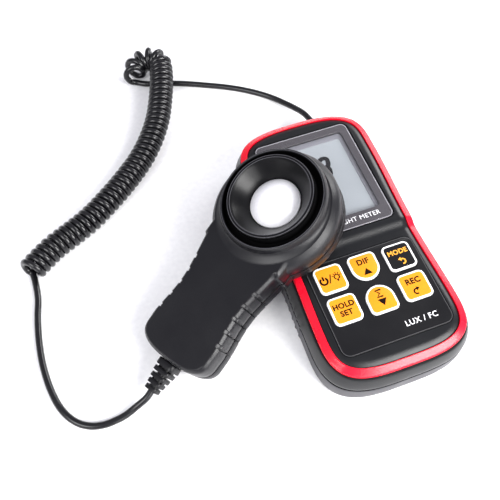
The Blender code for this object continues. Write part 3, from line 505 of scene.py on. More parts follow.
def case_outline(offset=0.0, grip=0.0):
    """The ring's outer outline, anticlockwise, moved outwards by offset and by a share of the grips."""
    points = []
    scallops = []
    for corner, end, power in ((TOP_CORNER_Y, TOP_Y, TOP_POWER), (BOTTOM_CORNER_Y, BOTTOM_Y, BOTTOM_POWER)):
        side = 1 if end > 0 else -1
        for reach, rise in end_curve(power, END_STEPS):
            y = corner + (end - corner) * rise
            points.append((side * side_half_width(y) * reach, y))
            scallops.append(0.0)
        for y in SIDE_STATIONS[::-side]:
            points.append((-side * side_half_width(y), y))
            scallops.append(copysign(grip_scallop(y) * grip, -side))
    return [(x + scallop, y) for (x, y), scallop in zip(shifted(points, offset), scallops)]


def face_height(y):
    """Height of the front face along the case: keypad, step, display and rounded-down ends."""
    height = KEYPAD_Z + (DISPLAY_Z - KEYPAD_Z) * smoothstep((y - STEP_Y[0]) / (STEP_Y[1] - STEP_Y[0]))
    height -= 2.0 * max((y - 63.0) / 13.0, 0.0) ** 1.6
    height -= 1.6 * max((-64.0 - y) / 12.0, 0.0) ** 1.6
    return height


def face_rings(table):
    """Rings of the case's outline that follow its face, from rows of offset and drop."""
    return [[(x, y, face_height(y) - drop) for x, y in case_outline(offset)] for offset, drop in table]


def add_face_rows(bm, rim):
    """Cover the rim of the face plate with rows across it, so that its step stays crisp."""
    half = END_STEPS // 2
    stations = len(SIDE_STATIONS)
    lower = END_STEPS + 1 + stations
    count = len(rim)
    pairs = [(half - k, half + k) for k in range(1, half + 1)]
    pairs += [(count - 1 - k, END_STEPS + 1 + k) for k in range(stations)]
    pairs += [(lower + END_STEPS - k, lower + k) for k in range(half)]
    rows = []
    for right, left in pairs:
        start, end = rim[right].co, rim[left].co
        inner = [bm.verts.new(start.lerp(end, i / 6)) for i in range(1, 6)]
        rows.append([rim[right]] + inner + [rim[left]])
    bm.faces.new([rim[half]] + rows[0][::-1])
    for upper, under in zip(rows, rows[1:]):
        for i in range(6):
            bm.faces.new((upper[i], upper[i + 1], under[i + 1], under[i]))
    bm.faces.new([rim[lower + half]] + rows[-1])


def case_rings(table):
    """Rings of the case's outline from rows of height, offset and share of the grips."""
    return [at_height(case_outline(*shape), z) for z, *shape in table]


UPPER_WALL = ((13.3, 3.2), (15.0, 3.08), (16.5, 2.8), (18.2, 2.36), (20.0, 1.8), (21.8, 1.12), (23.5, 0.5),
              (26.0, 0.42))


def make_upper_case(look):
    """Upper shell: scalloped walls, the ring's ledge and the raised face plate with its step."""
    low = PARTING_Z + GAP
    rings = case_rings(((low, BULGE - 2.1), (low, BULGE - 0.5, 0.9)))
    insets = {0.02: 0.22, 0.05: 0.06, 0.97: 0.06, 1.0: 0.22}
    for share in (0.02, 0.05, 0.12, 0.2, 0.3, 0.42, 0.54, 0.66, 0.78, 0.9, 0.97, 1.0):
        grip = 1.0 - smoothstep((share - 0.25) / 0.45)
        tops = [face_height(y) - RING_DEPTH - GAP for _, y in case_outline()]
        ring = [low + share * (top - low) for top in tops]
        outlines = {z: case_outline(between(z, UPPER_WALL) - insets.get(share, 0.0), grip) for z in set(ring)}
        rings.append([(*outlines[z][i], z) for i, z in enumerate(ring)])
    edge = ((0.0, RING_DEPTH + GAP), (0.0, PLATE_FALL + 0.3), (0.08, PLATE_FALL + 0.1), (0.3, PLATE_FALL),
            (1.2, PLATE_FALL * 0.55), (2.1, PLATE_FALL * 0.2), (2.8, PLATE_FALL * 0.03), (3.2, 0.0))
    rings += face_rings([(-PLATE_INSET - inset, drop) for inset, drop in edge])
    bm = bmesh.new()
    loops = add_loft(bm, rings, caps=False)
    bm.faces.new(loops[0][::-1])
    add_face_rows(bm, loops[-1])
    case = solid("case_upper", bm)
    cut(case, loft("upper_hollow", case_rings(((12.0, 1.1), (19.0, 0.2), (21.0, -0.9)))),
        prism("plate_hollow", case_outline(-PLATE_INSET - 3.4), 12.0, KEYPAD_Z - 2.2),
        prism("window_seat", shifted(WINDOW_OUTLINE, WINDOW_MOAT), WINDOW_TOP - WINDOW_THICKNESS - GAP, 40.0),
        prism("view_opening", VIEW_OUTLINE, 20.0, 35.0),
        prism("overlay_recess", shifted(OVERLAY_OUTLINE, GAP), OVERLAY_TOP - OVERLAY_THICKNESS - GAP, 40.0))
    cut_key_holes(case)
    place(case, look, "case_black", "meter", "front_case")


def add_screw_post(shell, x, y, parting):
    """A boss inside a shell, with a sink and a hole through it for a screw from behind."""
    combine(shell, post("boss", x, y, 3.8, 1.0, parting), "UNION")
    cut(shell, post("screw_sink", x, y, 2.8, -1.0, 3.2), post("screw_hole", x, y, 1.3, 2.0, parting + 1))


def make_lower_case(look):
    """Lower shell with its rounded foot, scalloped sides, battery bay and screw sinks."""
    wall = ((0.0, -5.6, 0.0), (0.0, 0.2, 0.1), (0.12, 0.8, 0.2), (0.4, 1.5, 0.35), (0.8, 2.05, 0.5),
            (1.3, 2.45, 0.7), (2.0, 2.8, 0.85), (3.0, 3.08, 1.0), (4.5, 3.28, 1.0), (6.5, 3.32, 1.0),
            (9.0, 3.3, 1.0), (11.0, 3.25, 1.0), (11.95, 3.2, 1.0), (12.15, 3.1, 1.0), (12.25, 2.8, 0.9),
            (12.25, 1.2, 0.0))
    case = loft("case_lower", case_rings(wall))
    cut(case, loft("lower_hollow", case_rings(((2.0, -2.6), (4.6, 0.2), (7.5, 0.9), (PARTING_Z + 1, 1.1)))))
    walls = block("bay_walls", DOOR_HALF + 2.0, (DOOR_Y[0] - 2.0, DOOR_Y[1] + 2.0), 1.0, 14.9)
    combine(case, walls, "UNION")
    recess = rounded_box((-DOOR_HALF - GAP, DOOR_HALF + GAP), (DOOR_Y[0] - GAP, DOOR_Y[1] + GAP), 2.0)
    cut(case, block("bay", BAY_HALF, BAY_Y, -1.0, 13.5), prism("door_recess", recess, -1.0, DOOR_TOP + GAP))
    for x, y in SCREW_PLACES:
        add_screw_post(case, x, y, PARTING_Z)
    for name, radius, reach, operation in (("entry_boss", 4.3, (-5.5, -GAP), "UNION"),
                                           ("entry_seat", 3.6, (-14.0, -2.9), "DIFFERENCE"),
                                           ("entry_bore", 2.5, (-6.0, 6.0), "DIFFERENCE")):
        tool = post(name, 0, 0, radius, *reach)
        tool.matrix_world = entry_matrix()
        bpy.context.view_layer.update()
        combine(case, tool, operation)
    place(case, look, "rear_black", "meter", "rear_case")


def make_seam_shade(look):
    """Near-black strips behind the gaps between the halves of the case and of the probe: painted shade in the
    gaps.
    """
    rings = case_rings(((12.3, 2.0), (12.3, 3.12), (12.7, 3.12), (12.9, 2.9), (12.9, 2.0)))
    # painted shade: the dark line of the case's parting gap
    place(loft("case_seam_shade", rings, closed=True), look, "case_black", "meter", angle=80)
    section = ((-1.1, 7.55), (0.0, 7.55), (0.0, 7.85), (-0.2, 8.0), (-1.1, 8.0))
    rings = [at_height(probe_outline(offset, 8.0), w) for offset, w in section]
    put_on_probe(loft("probe_seam_shade", rings, closed=True), look, "probe_black")


def entry_face_y():
    """Where the sleeve's flange stands, clear of the end wall at the entry."""
    reach = ENTRY_X / side_half_width(TOP_Y)
    edge = TOP_CORNER_Y + (TOP_Y - TOP_CORNER_Y) * (1 - reach ** TOP_POWER) ** (1 / TOP_POWER)
    return edge + BULGE + 1.0


def entry_matrix():
    spot = Vector((ENTRY_X, entry_face_y(), ENTRY_Z)) * MM
    return Matrix.Translation(spot) @ Matrix.Rotation(radians(-90), 4, "X")


def make_entry_sleeve(look):
    """Ribbed sleeve where the cord enters the meter."""
    profile = ((0, 7.3), (2.3, 7.3), (2.6, 7.2), (2.7, 6.9), (2.7, 6.5), (2.55, 6.25), (2.3, 6.1),
               (2.3, 5.35), (2.6, 5.15), (2.9, 5.05), (3.0, 4.85), (3.0, 4.15), (2.9, 3.95), (2.6, 3.75),
               (2.5, 3.6), (2.5, 3.0), (2.7, 2.8), (3.2, 2.65), (3.4, 2.4), (3.4, 1.8), (3.55, 1.55),
               (3.85, 1.4), (4.0, 1.2), (4.0, 0.2), (3.85, 0.0), (2.2, 0.0), (2.2, -3.2), (3.3, -3.2),
               (3.3, -4.4), (0, -4.4))
    sleeve = turned("entry_sleeve", profile, 48)
    sleeve.matrix_world = entry_matrix()
    place(sleeve, look, "relief_black", "meter", "entry_relief")


def make_ring(look):
    """The red band: it slopes down outwards and follows the face's step."""
    section = ((-3.7, 3.2), (-0.1, 3.2), (0.0, 3.1), (0.0, 2.15), (-0.04, 1.85), (-0.18, 1.6), (-0.42, 1.42),
               (-0.8, 1.24), (-1.8, 0.8), (-2.7, 0.38), (-3.1, 0.16), (-3.38, 0.05), (-3.56, 0.08),
               (-3.67, 0.2), (-3.7, 0.4))
    place(loft("ring_band", face_rings(section), closed=True), look, "trim_red", "meter", "trim_ring")


# ---- display

WINDOW_OUTLINE = rounded_box((-WINDOW_HALF, WINDOW_HALF), WINDOW_Y, WINDOW_CORNER)
VIEW_OUTLINE = rounded_box((-VIEW_HALF, VIEW_HALF), VIEW_Y, 2.0)


def framed(name, outer, inner, low, high, rounding=0.1):
    """A flat frame between two outlines, with its upper edges eased."""
    section = [(outer, low), (outer, high - rounding), (shifted(outer, -rounding), high),
               (shifted(inner, rounding), high), (inner, high - rounding), (inner, low)]
    return loft(name, [at_height(points, z) for points, z in section], closed=True)


def make_display(looks):
    """Window pane over a printed border, and the display glass below with a painted shade band round its
    edges, and its digits.
    """
    border = framed("window_border", shifted(WINDOW_OUTLINE, -0.15), VIEW_OUTLINE,
                    WINDOW_TOP - WINDOW_THICKNESS, WINDOW_TOP - 0.6, 0.05)
    place(border, looks["border"], "window_clear", "meter")
    # painted highlight: a thin light line along the window's edge
    line = framed("window_edge_highlight", shifted(WINDOW_OUTLINE, -0.05), shifted(WINDOW_OUTLINE, -0.5),
                  WINDOW_TOP - 0.58, WINDOW_TOP - 0.56, 0.005)
    place(line, looks["border_highlight"], "window_clear", "meter")
    pane = slab("window_pane", WINDOW_OUTLINE, WINDOW_TOP - 0.5, WINDOW_TOP, 0.3)
    place(pane, looks["window"], "window_clear", "meter", "display_window")
    glass = rounded_box((-LCD_HALF, LCD_HALF), LCD_Y, 0.8)
    glass = slab("display_glass", glass, LCD_TOP - 1.8, LCD_TOP)
    place(glass, looks["lcd"], "lcd_glass", "meter", "lcd_panel")
    # painted shade: a darker band round the display glass, between its hidden edge and the area left clear
    lit = rounded_box((-VIEW_HALF + 2.0, VIEW_HALF - 2.0), (VIEW_Y[0] + 0.4, VIEW_Y[1] - 3.2), 1.2)
    hidden = rounded_box((-LCD_HALF + 0.4, LCD_HALF - 0.4), (LCD_Y[0] + 0.1, LCD_Y[1] - 0.1), 1.2)
    edge = framed("display_edge_shade", hidden, lit, LCD_TOP + 0.02, LCD_TOP + 0.3)
    place(edge, looks["lcd_edge_shade"], "lcd_glass", "meter")
    make_digits(looks["segment"])


def add_stroke(bm, points, width, low, high, closed=False):
    """A flat band of even width along a line of points, as a solid."""
    rings = []
    for i, point in enumerate(points):
        before = points[i - 1] if i or closed else point
        after = points[(i + 1) % len(points)] if i < len(points) - 1 or closed else point
        along = Vector((after[0] - before[0], after[1] - before[1])).normalized() * width / 2
        left = (point[0] - along.y, point[1] + along.x)
        right = (point[0] + along.y, point[1] - along.x)
        rings.append([(*left, low), (*right, low), (*right, high), (*left, high)])
    add_loft(bm, rings, closed)


def make_digits(look):
    """Round-cornered eights with a decimal point, as the display shows with all its segments on."""
    bm = bmesh.new()
    low, high = LCD_TOP + 0.02, LCD_TOP + 0.09
    for i in range(4):
        right = DIGIT_RIGHT - DIGIT_PITCH * i
        for y_range in zip(DIGIT_BARS, DIGIT_BARS[1:]):
            loop = rounded_box((right - 5.9, right - 1.1), y_range, 2.1, 6)
            lean = [(x + DIGIT_LEAN * (y - 43.4), y) for x, y in loop]
            add_stroke(bm, lean, SEGMENT_WIDTH, low, high, closed=True)
    add_prism(bm, arc((0.4, 33.6), 0.9, 0, 340, 17), low, high)
    place(solid("display_digits", bm), look, "lcd_glass", "meter")


# ---- keypad

OVERLAY_OUTLINE = rounded_box((-OVERLAY_HALF, OVERLAY_HALF), OVERLAY_Y, OVERLAY_CORNER)


def key_outline(shape):
    """A key's outline about its centre, anticlockwise."""
    half = KEY_SIZE / 2
    if shape == "square":
        return rounded_box((-half, half), (-half, half), KEY_CORNER)
    corner = half - KEY_CORNER
    points = arc((0, 0), half, 180, 360, 30)
    points += arc((corner, corner), KEY_CORNER, 0, 90, 8) + arc((-corner, corner), KEY_CORNER, 90, 180, 8)
    return [(-x, -y) for x, y in points] if shape == "round_top" else points


def cut_key_holes(obj):
    for name, x, y, shape in KEYS:
        hole = [(x + px, y + py) for px, py in shifted(key_outline(shape), GAP)]
        cut(obj, prism(f"{name}_hole", hole, 20.0, 35.0))


def lettering(name, text, x, y, z, size, look, slot, body, bold=0.03, align="CENTER", spacing=1.0):
    """Raised print: one line of text with its baseline at y."""
    data = bpy.data.curves.new(name, "FONT")
    data.body = text
    data.size = size * MM
    data.offset = bold * size * MM
    data.space_character = spacing
    data.extrude = 0.03 * MM
    data.align_x = align
    data.resolution_u = 4
    line = add_object(name, data)
    mesh = evaluated_mesh(line)
    bpy.data.objects.remove(line, do_unlink=True)
    printed = add_object(name, mesh)
    printed.location = Vector((x, y, z)) * MM
    place(printed, look, slot, body)


def power_strokes():
    """A power sign, a slash and a lamp with its rays, as lines with their widths."""
    strokes = [(arc((-3.7, -0.3), 1.85, 125, 415, 14), 1.0), ([(-3.7, 0.0), (-3.7, 2.3)], 1.0),
               ([(-1.15, -2.3), (0.65, 2.4)], 0.6), (arc((3.3, 0.1), 1.3, -60, 240, 14), 0.6),
               ([(2.75, -1.45), (3.85, -1.45)], 0.75), ([(2.95, -2.1), (3.65, -2.1)], 0.5)]
    for angle in map(radians, (20, 55, 90, 125, 160)):
        x, y = cos(angle), sin(angle)
        strokes.append(([(3.3 + 1.75 * x, 0.1 + 1.75 * y), (3.3 + 2.5 * x, 0.1 + 2.7 * y)], 0.42))
    return strokes


def key_symbol(name):
    """The symbol on one key, about the key's centre, from lines with their widths and filled outlines."""
    strokes, plates = [], []
    if name == "power":
        strokes = power_strokes()
    if name == "difference":
        plates = [[(-2.2, -4.4), (2.4, -4.4), (0.1, -0.9)]]
    if name in ("mode", "record"):  # a round arrow that turns back on itself
        side = 1 if name == "mode" else -1
        strokes = [([(side * x, y) for x, y in arc((0.5, -3.2), 1.35, -110, 110, 14)], 0.75)]
        plates = [[(side * x, y) for x, y in ((-1.5, -1.75), (0.1, -3.0), (0.1, -0.7))]]
    if name == "sum":
        strokes = [([(1.7, 4.5), (-1.4, 4.5), (0.5, 2.7), (-1.4, 0.9), (1.7, 0.9)], 0.85)]
        plates = [[(-2.0, -0.3), (2.6, -0.3), (0.3, -4.0)]]
    if not strokes + plates:
        return None
    bm = bmesh.new()
    low, high = KEY_TOP + 0.05, KEY_TOP + 0.1
    for points, width in strokes:
        add_stroke(bm, points, width, low, high)
    for points in plates:
        add_prism(bm, points, low, high)
    return solid(f"key_{name}_symbol", bm)


KEY_WORDS = {"difference": [("DIF", 1.5, 4.2)], "mode": [("MODE", 1.3, 3.6)],
             "hold": [("HOLD", 0.9, 3.9), ("SET", -3.2, 3.9)], "record": [("REC", 1.2, 4.2)]}


def make_key(name, x, y, shape, looks):
    """White-rimmed cap with a flange, a coloured face and its legend."""
    body, node = f"key_{name}_cap", f"key_{name}"
    outline = key_outline(shape)
    wide = shifted(outline, 0.8)
    low, high = KEY_FLANGE_Z
    rings = [at_height(wide, low), at_height(wide, high), at_height(outline, high)]
    cap = loft(f"key_{name}_rim", rings + rounded_edge(outline, KEY_TOP, KEY_EDGE, (25, 50, 75, 90)))
    face = slab(f"key_{name}_face", shifted(outline, -1.0), KEY_TOP - 0.1, KEY_TOP + 0.06, 0.05)
    look, ink, slot = "key_face", looks["ink_dark"], "key_amber"
    if name == "mode":
        look, ink, slot = "key_dark", looks["ink_amber"], "key_black"
    spot = Vector((x, y, 0)) * MM
    cap.location = face.location = spot
    place(cap, looks["key_rim"], slot, body, node)
    place(face, looks[look], slot, body)
    symbol = key_symbol(name)
    if symbol:
        symbol.location = spot
        place(symbol, ink, slot, body)
    for i, (text, rise, size) in enumerate(KEY_WORDS.get(name, [])):
        lettering(f"key_{name}_word_{i + 1}", text, x, y + rise, KEY_TOP + 0.07, size, ink, slot, body, 0.035,
                  spacing=1.06)


def make_keypad(looks):
    film = slab("keypad_film", OVERLAY_OUTLINE, OVERLAY_TOP - OVERLAY_THICKNESS, OVERLAY_TOP, 0.12)
    cut_key_holes(film)
    place(film, looks["overlay"], "overlay_black", "meter", "keypad_overlay")
    # painted highlight: a thin light line along the keypad film's edge
    line = framed("keypad_edge_highlight", shifted(OVERLAY_OUTLINE, -0.2), shifted(OVERLAY_OUTLINE, -0.5),
                  OVERLAY_TOP + 0.01, OVERLAY_TOP + 0.03, 0.005)
    place(line, looks["outline"], "overlay_black", "meter")
    for key in KEYS:
        make_key(*key, looks)
    lettering("lettering_units", "LUX / FC", 22.4, -58.6, OVERLAY_TOP + 0.02, 4.0, looks["ink_white"],
              "overlay_black", "meter", 0.012, "RIGHT", 1.1)
    lettering("lettering_title", "LIGHT METER", 20.4, 2.3, WINDOW_TOP + 0.02, 3.7, looks["ink_white"],
              "overlay_black", "meter", 0.0, "RIGHT", 1.08)


# ---- probe

def probe_matrix():
    """The probe's place: its tail just off the table, its head on the ring's left edge."""
    tilt, turn = radians(PROBE_TILT), radians(PROBE_TURN)
    edge_x = RING_EDGE - side_half_width(CONTACT_Y)
    edge_z = face_height(CONTACT_Y) - RING_SLOPE + GAP
    spot = Vector((HEAD_X, HEAD_Y, edge_z + (HEAD_X - edge_x) * tan(tilt))) * MM
    return Matrix.Translation(spot) @ Euler((0, -tilt, turn), "ZYX").to_matrix().to_4x4()


def probe_half_width(u):
    if u > WAIST_U:
        return WAIST_HALF + NECK_FLARE * smoothstep((u - WAIST_U) / NECK_RUN)
    return WAIST_HALF + (TAIL_HALF - WAIST_HALF) * smoothstep((WAIST_U - u) / (WAIST_U - TAIL_CORNER_U))


def slat_depth(u, w):
    """How far the handle's side is cut back: grooves, wider on the upper edge, with soft slats between."""
    depth = 0.0
    rise = smoothstep((w - 15.6) / 1.0)
    for groove in GRIP_GROOVES:
        beyond = u - groove
        line = smoothstep(1.0 - (abs(beyond + 0.9) - 0.18) / 0.2)
        channel = smoothstep(1.0 - (abs(beyond) - 0.75) / 0.25)
        depth = max(depth, 0.8 * line, (0.1 + 0.55 * rise) * channel)
        if abs(beyond + 3.7) < 3.6:
            depth -= 0.16 * (1 - ((beyond + 3.7) / 3.6) ** 2) * smoothstep((w - 1.0) / 3.0)
    return depth


SIDE_U = [-33.0 - 0.2 * i for i in range(240)]


def probe_outline(offset, w, slats=1.0):
    """The probe's plan outline at a height, anticlockwise: round head, neck, slatted handle and tail."""
    radius = HEAD_RADIUS + offset - HEAD_EASE * smoothstep((w - 14.0) / 3.6)
    neck = NECK_HALF + offset
    start = degrees(asin(neck / radius))
    head = arc((HEAD_SHIFT, 0), radius, start - 180, 180 - start, 84)
    end = NECK_END - offset
    side = arc((end + NECK_CORNER, neck - NECK_CORNER), NECK_CORNER, 88, 180, 6)
    side.append((end - 0.1, probe_half_width(NECK_END) + offset + 0.35))
    side.append((end - 0.5, probe_half_width(NECK_END) + offset + 0.02))
    side += [(u, probe_half_width(u) + offset - slats * slat_depth(u, w)) for u in SIDE_U]
    corner = TAIL_CORNER_U - 3.0
    length, half = corner - TAIL_U + offset, TAIL_HALF + offset
    tail = [(corner - length * rise, half * reach) for reach, rise in end_curve(TAIL_POWER, 40)]
    return head + side + tail + [(u, -v) for u, v in side[::-1]]


def put_on_probe(obj, look, slot, *nodes, angle=32):
    obj.data.transform(probe_matrix())
    place(obj, look, slot, "sensor", *nodes, angle=angle)


def put_at_tail(obj, angle):
    """Turn a piece that was made along Z about Y, and move it to the tail's end."""
    turn = Matrix.Rotation(radians(angle), 4, "Y")
    obj.data.transform(Matrix.Translation(Vector((TAIL_U, 0, RELIEF_W)) * MM) @ turn)
    return obj


def relief_bore():
    """Hole through the tail's end wall for the sleeve."""
    return put_at_tail(post("relief_bore", 0, 0, 2.75, -4.0, 4.0), 90)


def make_collar():
    """Thin-rimmed collar about the dome's axis, flaring down to the round body's centre."""
    flare = arc((COLLAR_RADIUS + FLARE_RADIUS, PROBE_TOP + FLARE_RADIUS), FLARE_RADIUS, 264, 180, 14)
    edge, top = COLLAR_RADIUS, COLLAR_TOP
    profile = [(flare[0][0] - 0.3, 15.0), (flare[0][0] - 0.3, PROBE_TOP - 0.15)] + flare
    profile += [(edge - 0.28, top - 1.5), (edge - 0.6, top - 0.6), (edge - 0.78, top - 0.28),
                (edge - 1.0, top - 0.08), (edge - 1.3, top)]
    rings = []
    for radius, w in profile:
        shift = HEAD_SHIFT * (1 - smoothstep((w - PROBE_TOP) / FLARE_RADIUS))
        rings.append(at_height(arc((shift, 0), radius, 0, 357.5, 143), w))
    return loft("collar", rings)


def make_probe_upper(look):
    """Upper half of the probe: slatted handle, round head, raised collar and the groove in it."""
    wall = ((8.1, -3.0), (8.1, -0.5), (8.2, -0.15), (8.45, 0.0), (11.0, 0.05), (14.0, 0.08), (15.8, 0.02),
            (16.6, -0.12), (17.0, -0.26), (17.25, -0.42), (18.2, -1.22), (18.42, -1.45), (PROBE_TOP, -1.8))
    shell = loft("probe_upper", [at_height(probe_outline(offset, w), w) for w, offset in wall])
    combine(shell, make_collar(), "UNION")
    channel = rounded_box((TAIL_U + 2.6, -15.0), (-16.0, 16.0), 6.0)
    inner, outer = GROOVE_RADII
    groove = [(0, 35.0), (outer + 0.45, 35.0), (outer + 0.45, COLLAR_TOP), (outer + 0.15, COLLAR_TOP - 0.2),
              (outer, COLLAR_TOP - 0.5), (outer, GROOVE_FLOOR), (inner, GROOVE_FLOOR), (inner, 10.0),
              (0, 10.0)]
    cut(shell, post("head_hollow", HEAD_SHIFT, 0, 29.4, 2.0, 16.8, 64),
        prism("handle_hollow", channel, 2.0, PROBE_TOP - 2.4), turned("bowl_seat", groove, 144),
        relief_bore())
    put_on_probe(shell, look, "probe_black", "probe_front")


def make_probe_lower(look):
    wall = ((0.0, -3.0), (0.1, -2.4), (0.3, -1.8), (0.6, -1.25), (1.0, -0.8), (1.6, -0.45), (2.2, -0.2),
            (3.2, -0.05), (4.5, 0.0), (7.15, 0.0), (7.4, -0.12), (7.5, -0.5), (7.5, -3.0))
    rings = [at_height(probe_outline(offset, w, slats=smoothstep(w / 4.0)), w) for w, offset in wall]
    shell = loft("probe_lower", rings)
    channel = rounded_box((TAIL_U + 2.9, -15.0), (-16.0, 16.0), 5.0)
    cut(shell, post("rear_head_hollow", HEAD_SHIFT, 0, 28.6, 2.2, 9.0, 64),
        prism("rear_handle_hollow", channel, 2.2, 9.0))
    for u in (-72.0, -42.0):
        add_screw_post(shell, u, 0, PROBE_PARTING)
    cut(shell, relief_bore())
    put_on_probe(shell, look, "probe_black", "probe_rear")


def make_painted_groove_shade(look):
    """Near-black sheet in the groove between the collar and the bowl: painted shade for the deep groove."""
    inner, outer = GROOVE_RADII
    low, high, bowl = GROOVE_FLOOR + 0.02, COLLAR_TOP - 0.5, BOWL_TOP - 1.0
    profile = [(inner, low), (outer - 0.03, low), (outer - 0.03, high), (outer - 0.13, high),
               (outer - 0.13, low + 0.1), (inner + 0.1, low + 0.1), (inner + 0.1, bowl), (inner, bowl)]
    put_on_probe(turned("painted_groove_shade", profile, 144, closed=True), look, "probe_black")


def make_painted_rim_highlights(look):
    """Fine bright lines on the rims of the bowl and the collar: painted highlights."""
    inner, rim = BOWL_RIM
    for name, radius, height in (("bowl_edge_highlight", inner + 0.1, BOWL_TOP - 0.04),
                                 ("rim_edge_highlight", rim, BOWL_TOP - 0.08),
                                 ("collar_edge_highlight", GROOVE_RADII[1] + 0.55, COLLAR_TOP)):
        low, high = height - 0.05, height + 0.03
        section = [(radius + 0.11, low), (radius + 0.11, high), (radius - 0.11, high), (radius - 0.11, low)]
        put_on_probe(turned(name, section, 144, closed=True), look, "bowl_black")


def make_bowl(look):
    """Dished ring around the dome, with a thin raised rim."""
    outer = GROOVE_RADII[0] - GAP
    inner, rim = BOWL_RIM
    hole = DOME_RADIUS + 0.5
    run, rise = inner - 0.25 - hole, BOWL_TOP - 0.6 - 18.2
    fall = [sin(radians(angle)) for angle in range(90, -1, -6)]
    profile = [(inner - 0.25 - run * f, 18.2 + rise * (1 - f)) for f in fall]
    profile += [(inner - 0.12, BOWL_TOP - 0.25), (inner + 0.05, BOWL_TOP - 0.05), (inner + 0.3, BOWL_TOP),
                (rim - 0.3, BOWL_TOP), (rim - 0.05, BOWL_TOP - 0.08), (outer, BOWL_TOP - 0.6), (outer, 17.1),
                (hole, 17.1)]
    put_on_probe(turned("bowl", profile, 144, closed=True), look, "bowl_black", "bowl_ring")


def make_dome(look):
    """Opal dome, a thin shell on a short skirt."""
    ball = (DOME_RADIUS ** 2 + DOME_HEIGHT ** 2) / (2 * DOME_HEIGHT)
    opening = degrees(asin(min(DOME_RADIUS / ball, 1.0)))
    centre = (0, DOME_BASE + DOME_HEIGHT - ball)
    outer = [(0, DOME_BASE + DOME_HEIGHT)] + arc(centre, ball, 90, 90 - opening, 20)[1:]
    inner = [(r, z - 1.4) for r, z in arc(centre, ball, 90 - opening * 0.84, 90, 12)][:-1]
    tip = (0, DOME_BASE + DOME_HEIGHT - 1.4)
    profile = outer + [(DOME_RADIUS, 14.6), (DOME_RADIUS - 1.5, 14.6)] + inner + [tip]
    put_on_probe(turned("dome", profile, 96), look, "dome_white", "diffuser_dome")


def probe_relief_blocks():
    """The sleeve's flange, segments and links: start, end, half width, half height, corner radius."""
    blocks = [(0.5, 3.8, 5.3, 4.9, 2.2), (-4.6, -3.3, 3.9, 3.9, 3.8), (-3.4, 16.5, 2.5, 2.5, 2.45)]
    for i, start in enumerate((4.9, 8.1, 11.3, 14.35)):
        half = 4.75 - 0.42 * i
        blocks.append((start, start + 2.15, half, half * 0.93, 1.5))
    for i, start in enumerate((3.6, 6.9, 10.1, 13.2)):
        half = 4.3 - 0.42 * i
        size = (1.5, half * 0.9) if i % 2 else (half, 1.4)
        blocks.append((start, start + 1.5, *size, 0.4))
    return blocks


def make_probe_sleeve(look):
    """Segmented sleeve at the tail, narrowing towards the cord."""
    sleeve = None
    for i, (start, end, half_v, half_w, corner) in enumerate(probe_relief_blocks()):
        ease = min(0.25, corner)
        outline = rounded_box((-half_w, half_w), (-half_v, half_v), corner, 6)
        eased = shifted(outline, -ease * 0.7)
        part = loft(f"sleeve_part_{i}", [at_height(eased, start), at_height(outline, start + ease),
                                         at_height(outline, end - ease), at_height(eased, end)])
        sleeve = combine(sleeve, part, "UNION") if sleeve else part
    sleeve.name = "probe_sleeve"
    put_on_probe(put_at_tail(sleeve, -90), look, "relief_black", "probe_relief", angle=40)


# ---- cord

LEAD_TO_PROBE = [(-128.0, -44.2, 3.1), (-133.3, -45.8, 2.0)] + at_height((
    (-139.0, -46.6), (-144.5, -46.6), (-150.0, -45.2), (-155.2, -41.9), (-159.2, -37.0), (-162.2, -30.6),
    (-164.2, -22.0), (-165.2, -12.0), (-165.2, -2.0), (-164.2, 9.0), (-162.4, 20.0), (-160.0, 31.0)), LEAD_Z)
COIL_CENTRES = ((-159.6, 44.2, 7.45), (-153.0, 49.0, 7.45), (-145.0, 54.1, 7.45), (-136.2, 58.2, 7.45),
                (-127.2, 62.4, 7.45), (-119.4, 66.8, 7.45), (-111.9, 72.1, 7.45), (-103.7, 78.2, 7.45),
                (-95.9, 84.6, 7.5), (-88.4, 91.3, 7.6), (-81.7, 98.3, 7.9), (-75.6, 106.0, 8.5),
                (-70.3, 114.0, 9.2), (-66.0, 122.0, 9.9), (-62.2, 131.0, 10.7), (-59.0, 139.6, 11.3),
                (-56.4, 147.8, 11.6), (-54.6, 155.4, 11.6))
CURL_CENTRE = (-62.4, 158.6)
CURL_RADIUS = 8.35
CURL_TURN = 186.0
CURL_STEPS = 12
LEAD_TO_METER = at_height((
    (-66.0, 155.2), (-60.0, 153.2), (-54.0, 151.2), (-48.0, 149.0), (-40.0, 145.6), (-31.5, 141.5),
    (-21.5, 136.4), (-11.8, 130.7), (-3.0, 124.3)), LEAD_Z) + [
    (4.5, 117.2, 2.1), (10.2, 109.4, 3.0), (14.2, 101.6, 4.9), (16.6, 94.8, 7.0)]


def smooth_route(points, spacing):
    """Evenly spaced points on a Catmull-Rom curve through the route's own points."""
    path = [Vector(point) for point in points]
    path = [path[0] * 2 - path[1]] + path + [path[-1] * 2 - path[-2]]
    fine = []
    for before, start, end, after in zip(path, path[1:], path[2:], path[3:]):
        for i in range(20):
            t = i / 20
            square = (2 * before - 5 * start + 4 * end - after) * t ** 2
            cube = (3 * start - before - 3 * end + after) * t ** 3
            fine.append(0.5 * (2 * start + (end - before) * t + square + cube))
    fine.append(path[-2])
    return even_points(fine, spacing)


def even_steps(marks, count):
    """Even steps along rising marks: each step's target, the mark before it and the share from there on."""
    index = 0
    for i in range(count + 1):
        target = marks[-1] * i / count
        while index < len(marks) - 2 and marks[index + 1] < target:
            index += 1
        share = (target - marks[index]) / max(marks[index + 1] - marks[index], 1e-9)
        yield target, index, min(share, 1.0)


def even_points(fine, spacing):
    lengths = [0.0]
    for start, end in zip(fine, fine[1:]):
        lengths.append(lengths[-1] + (end - start).length)
    count = max(2, round(lengths[-1] / spacing))
    return [fine[i].lerp(fine[i + 1], share) for _, i, share in even_steps(lengths, count)]


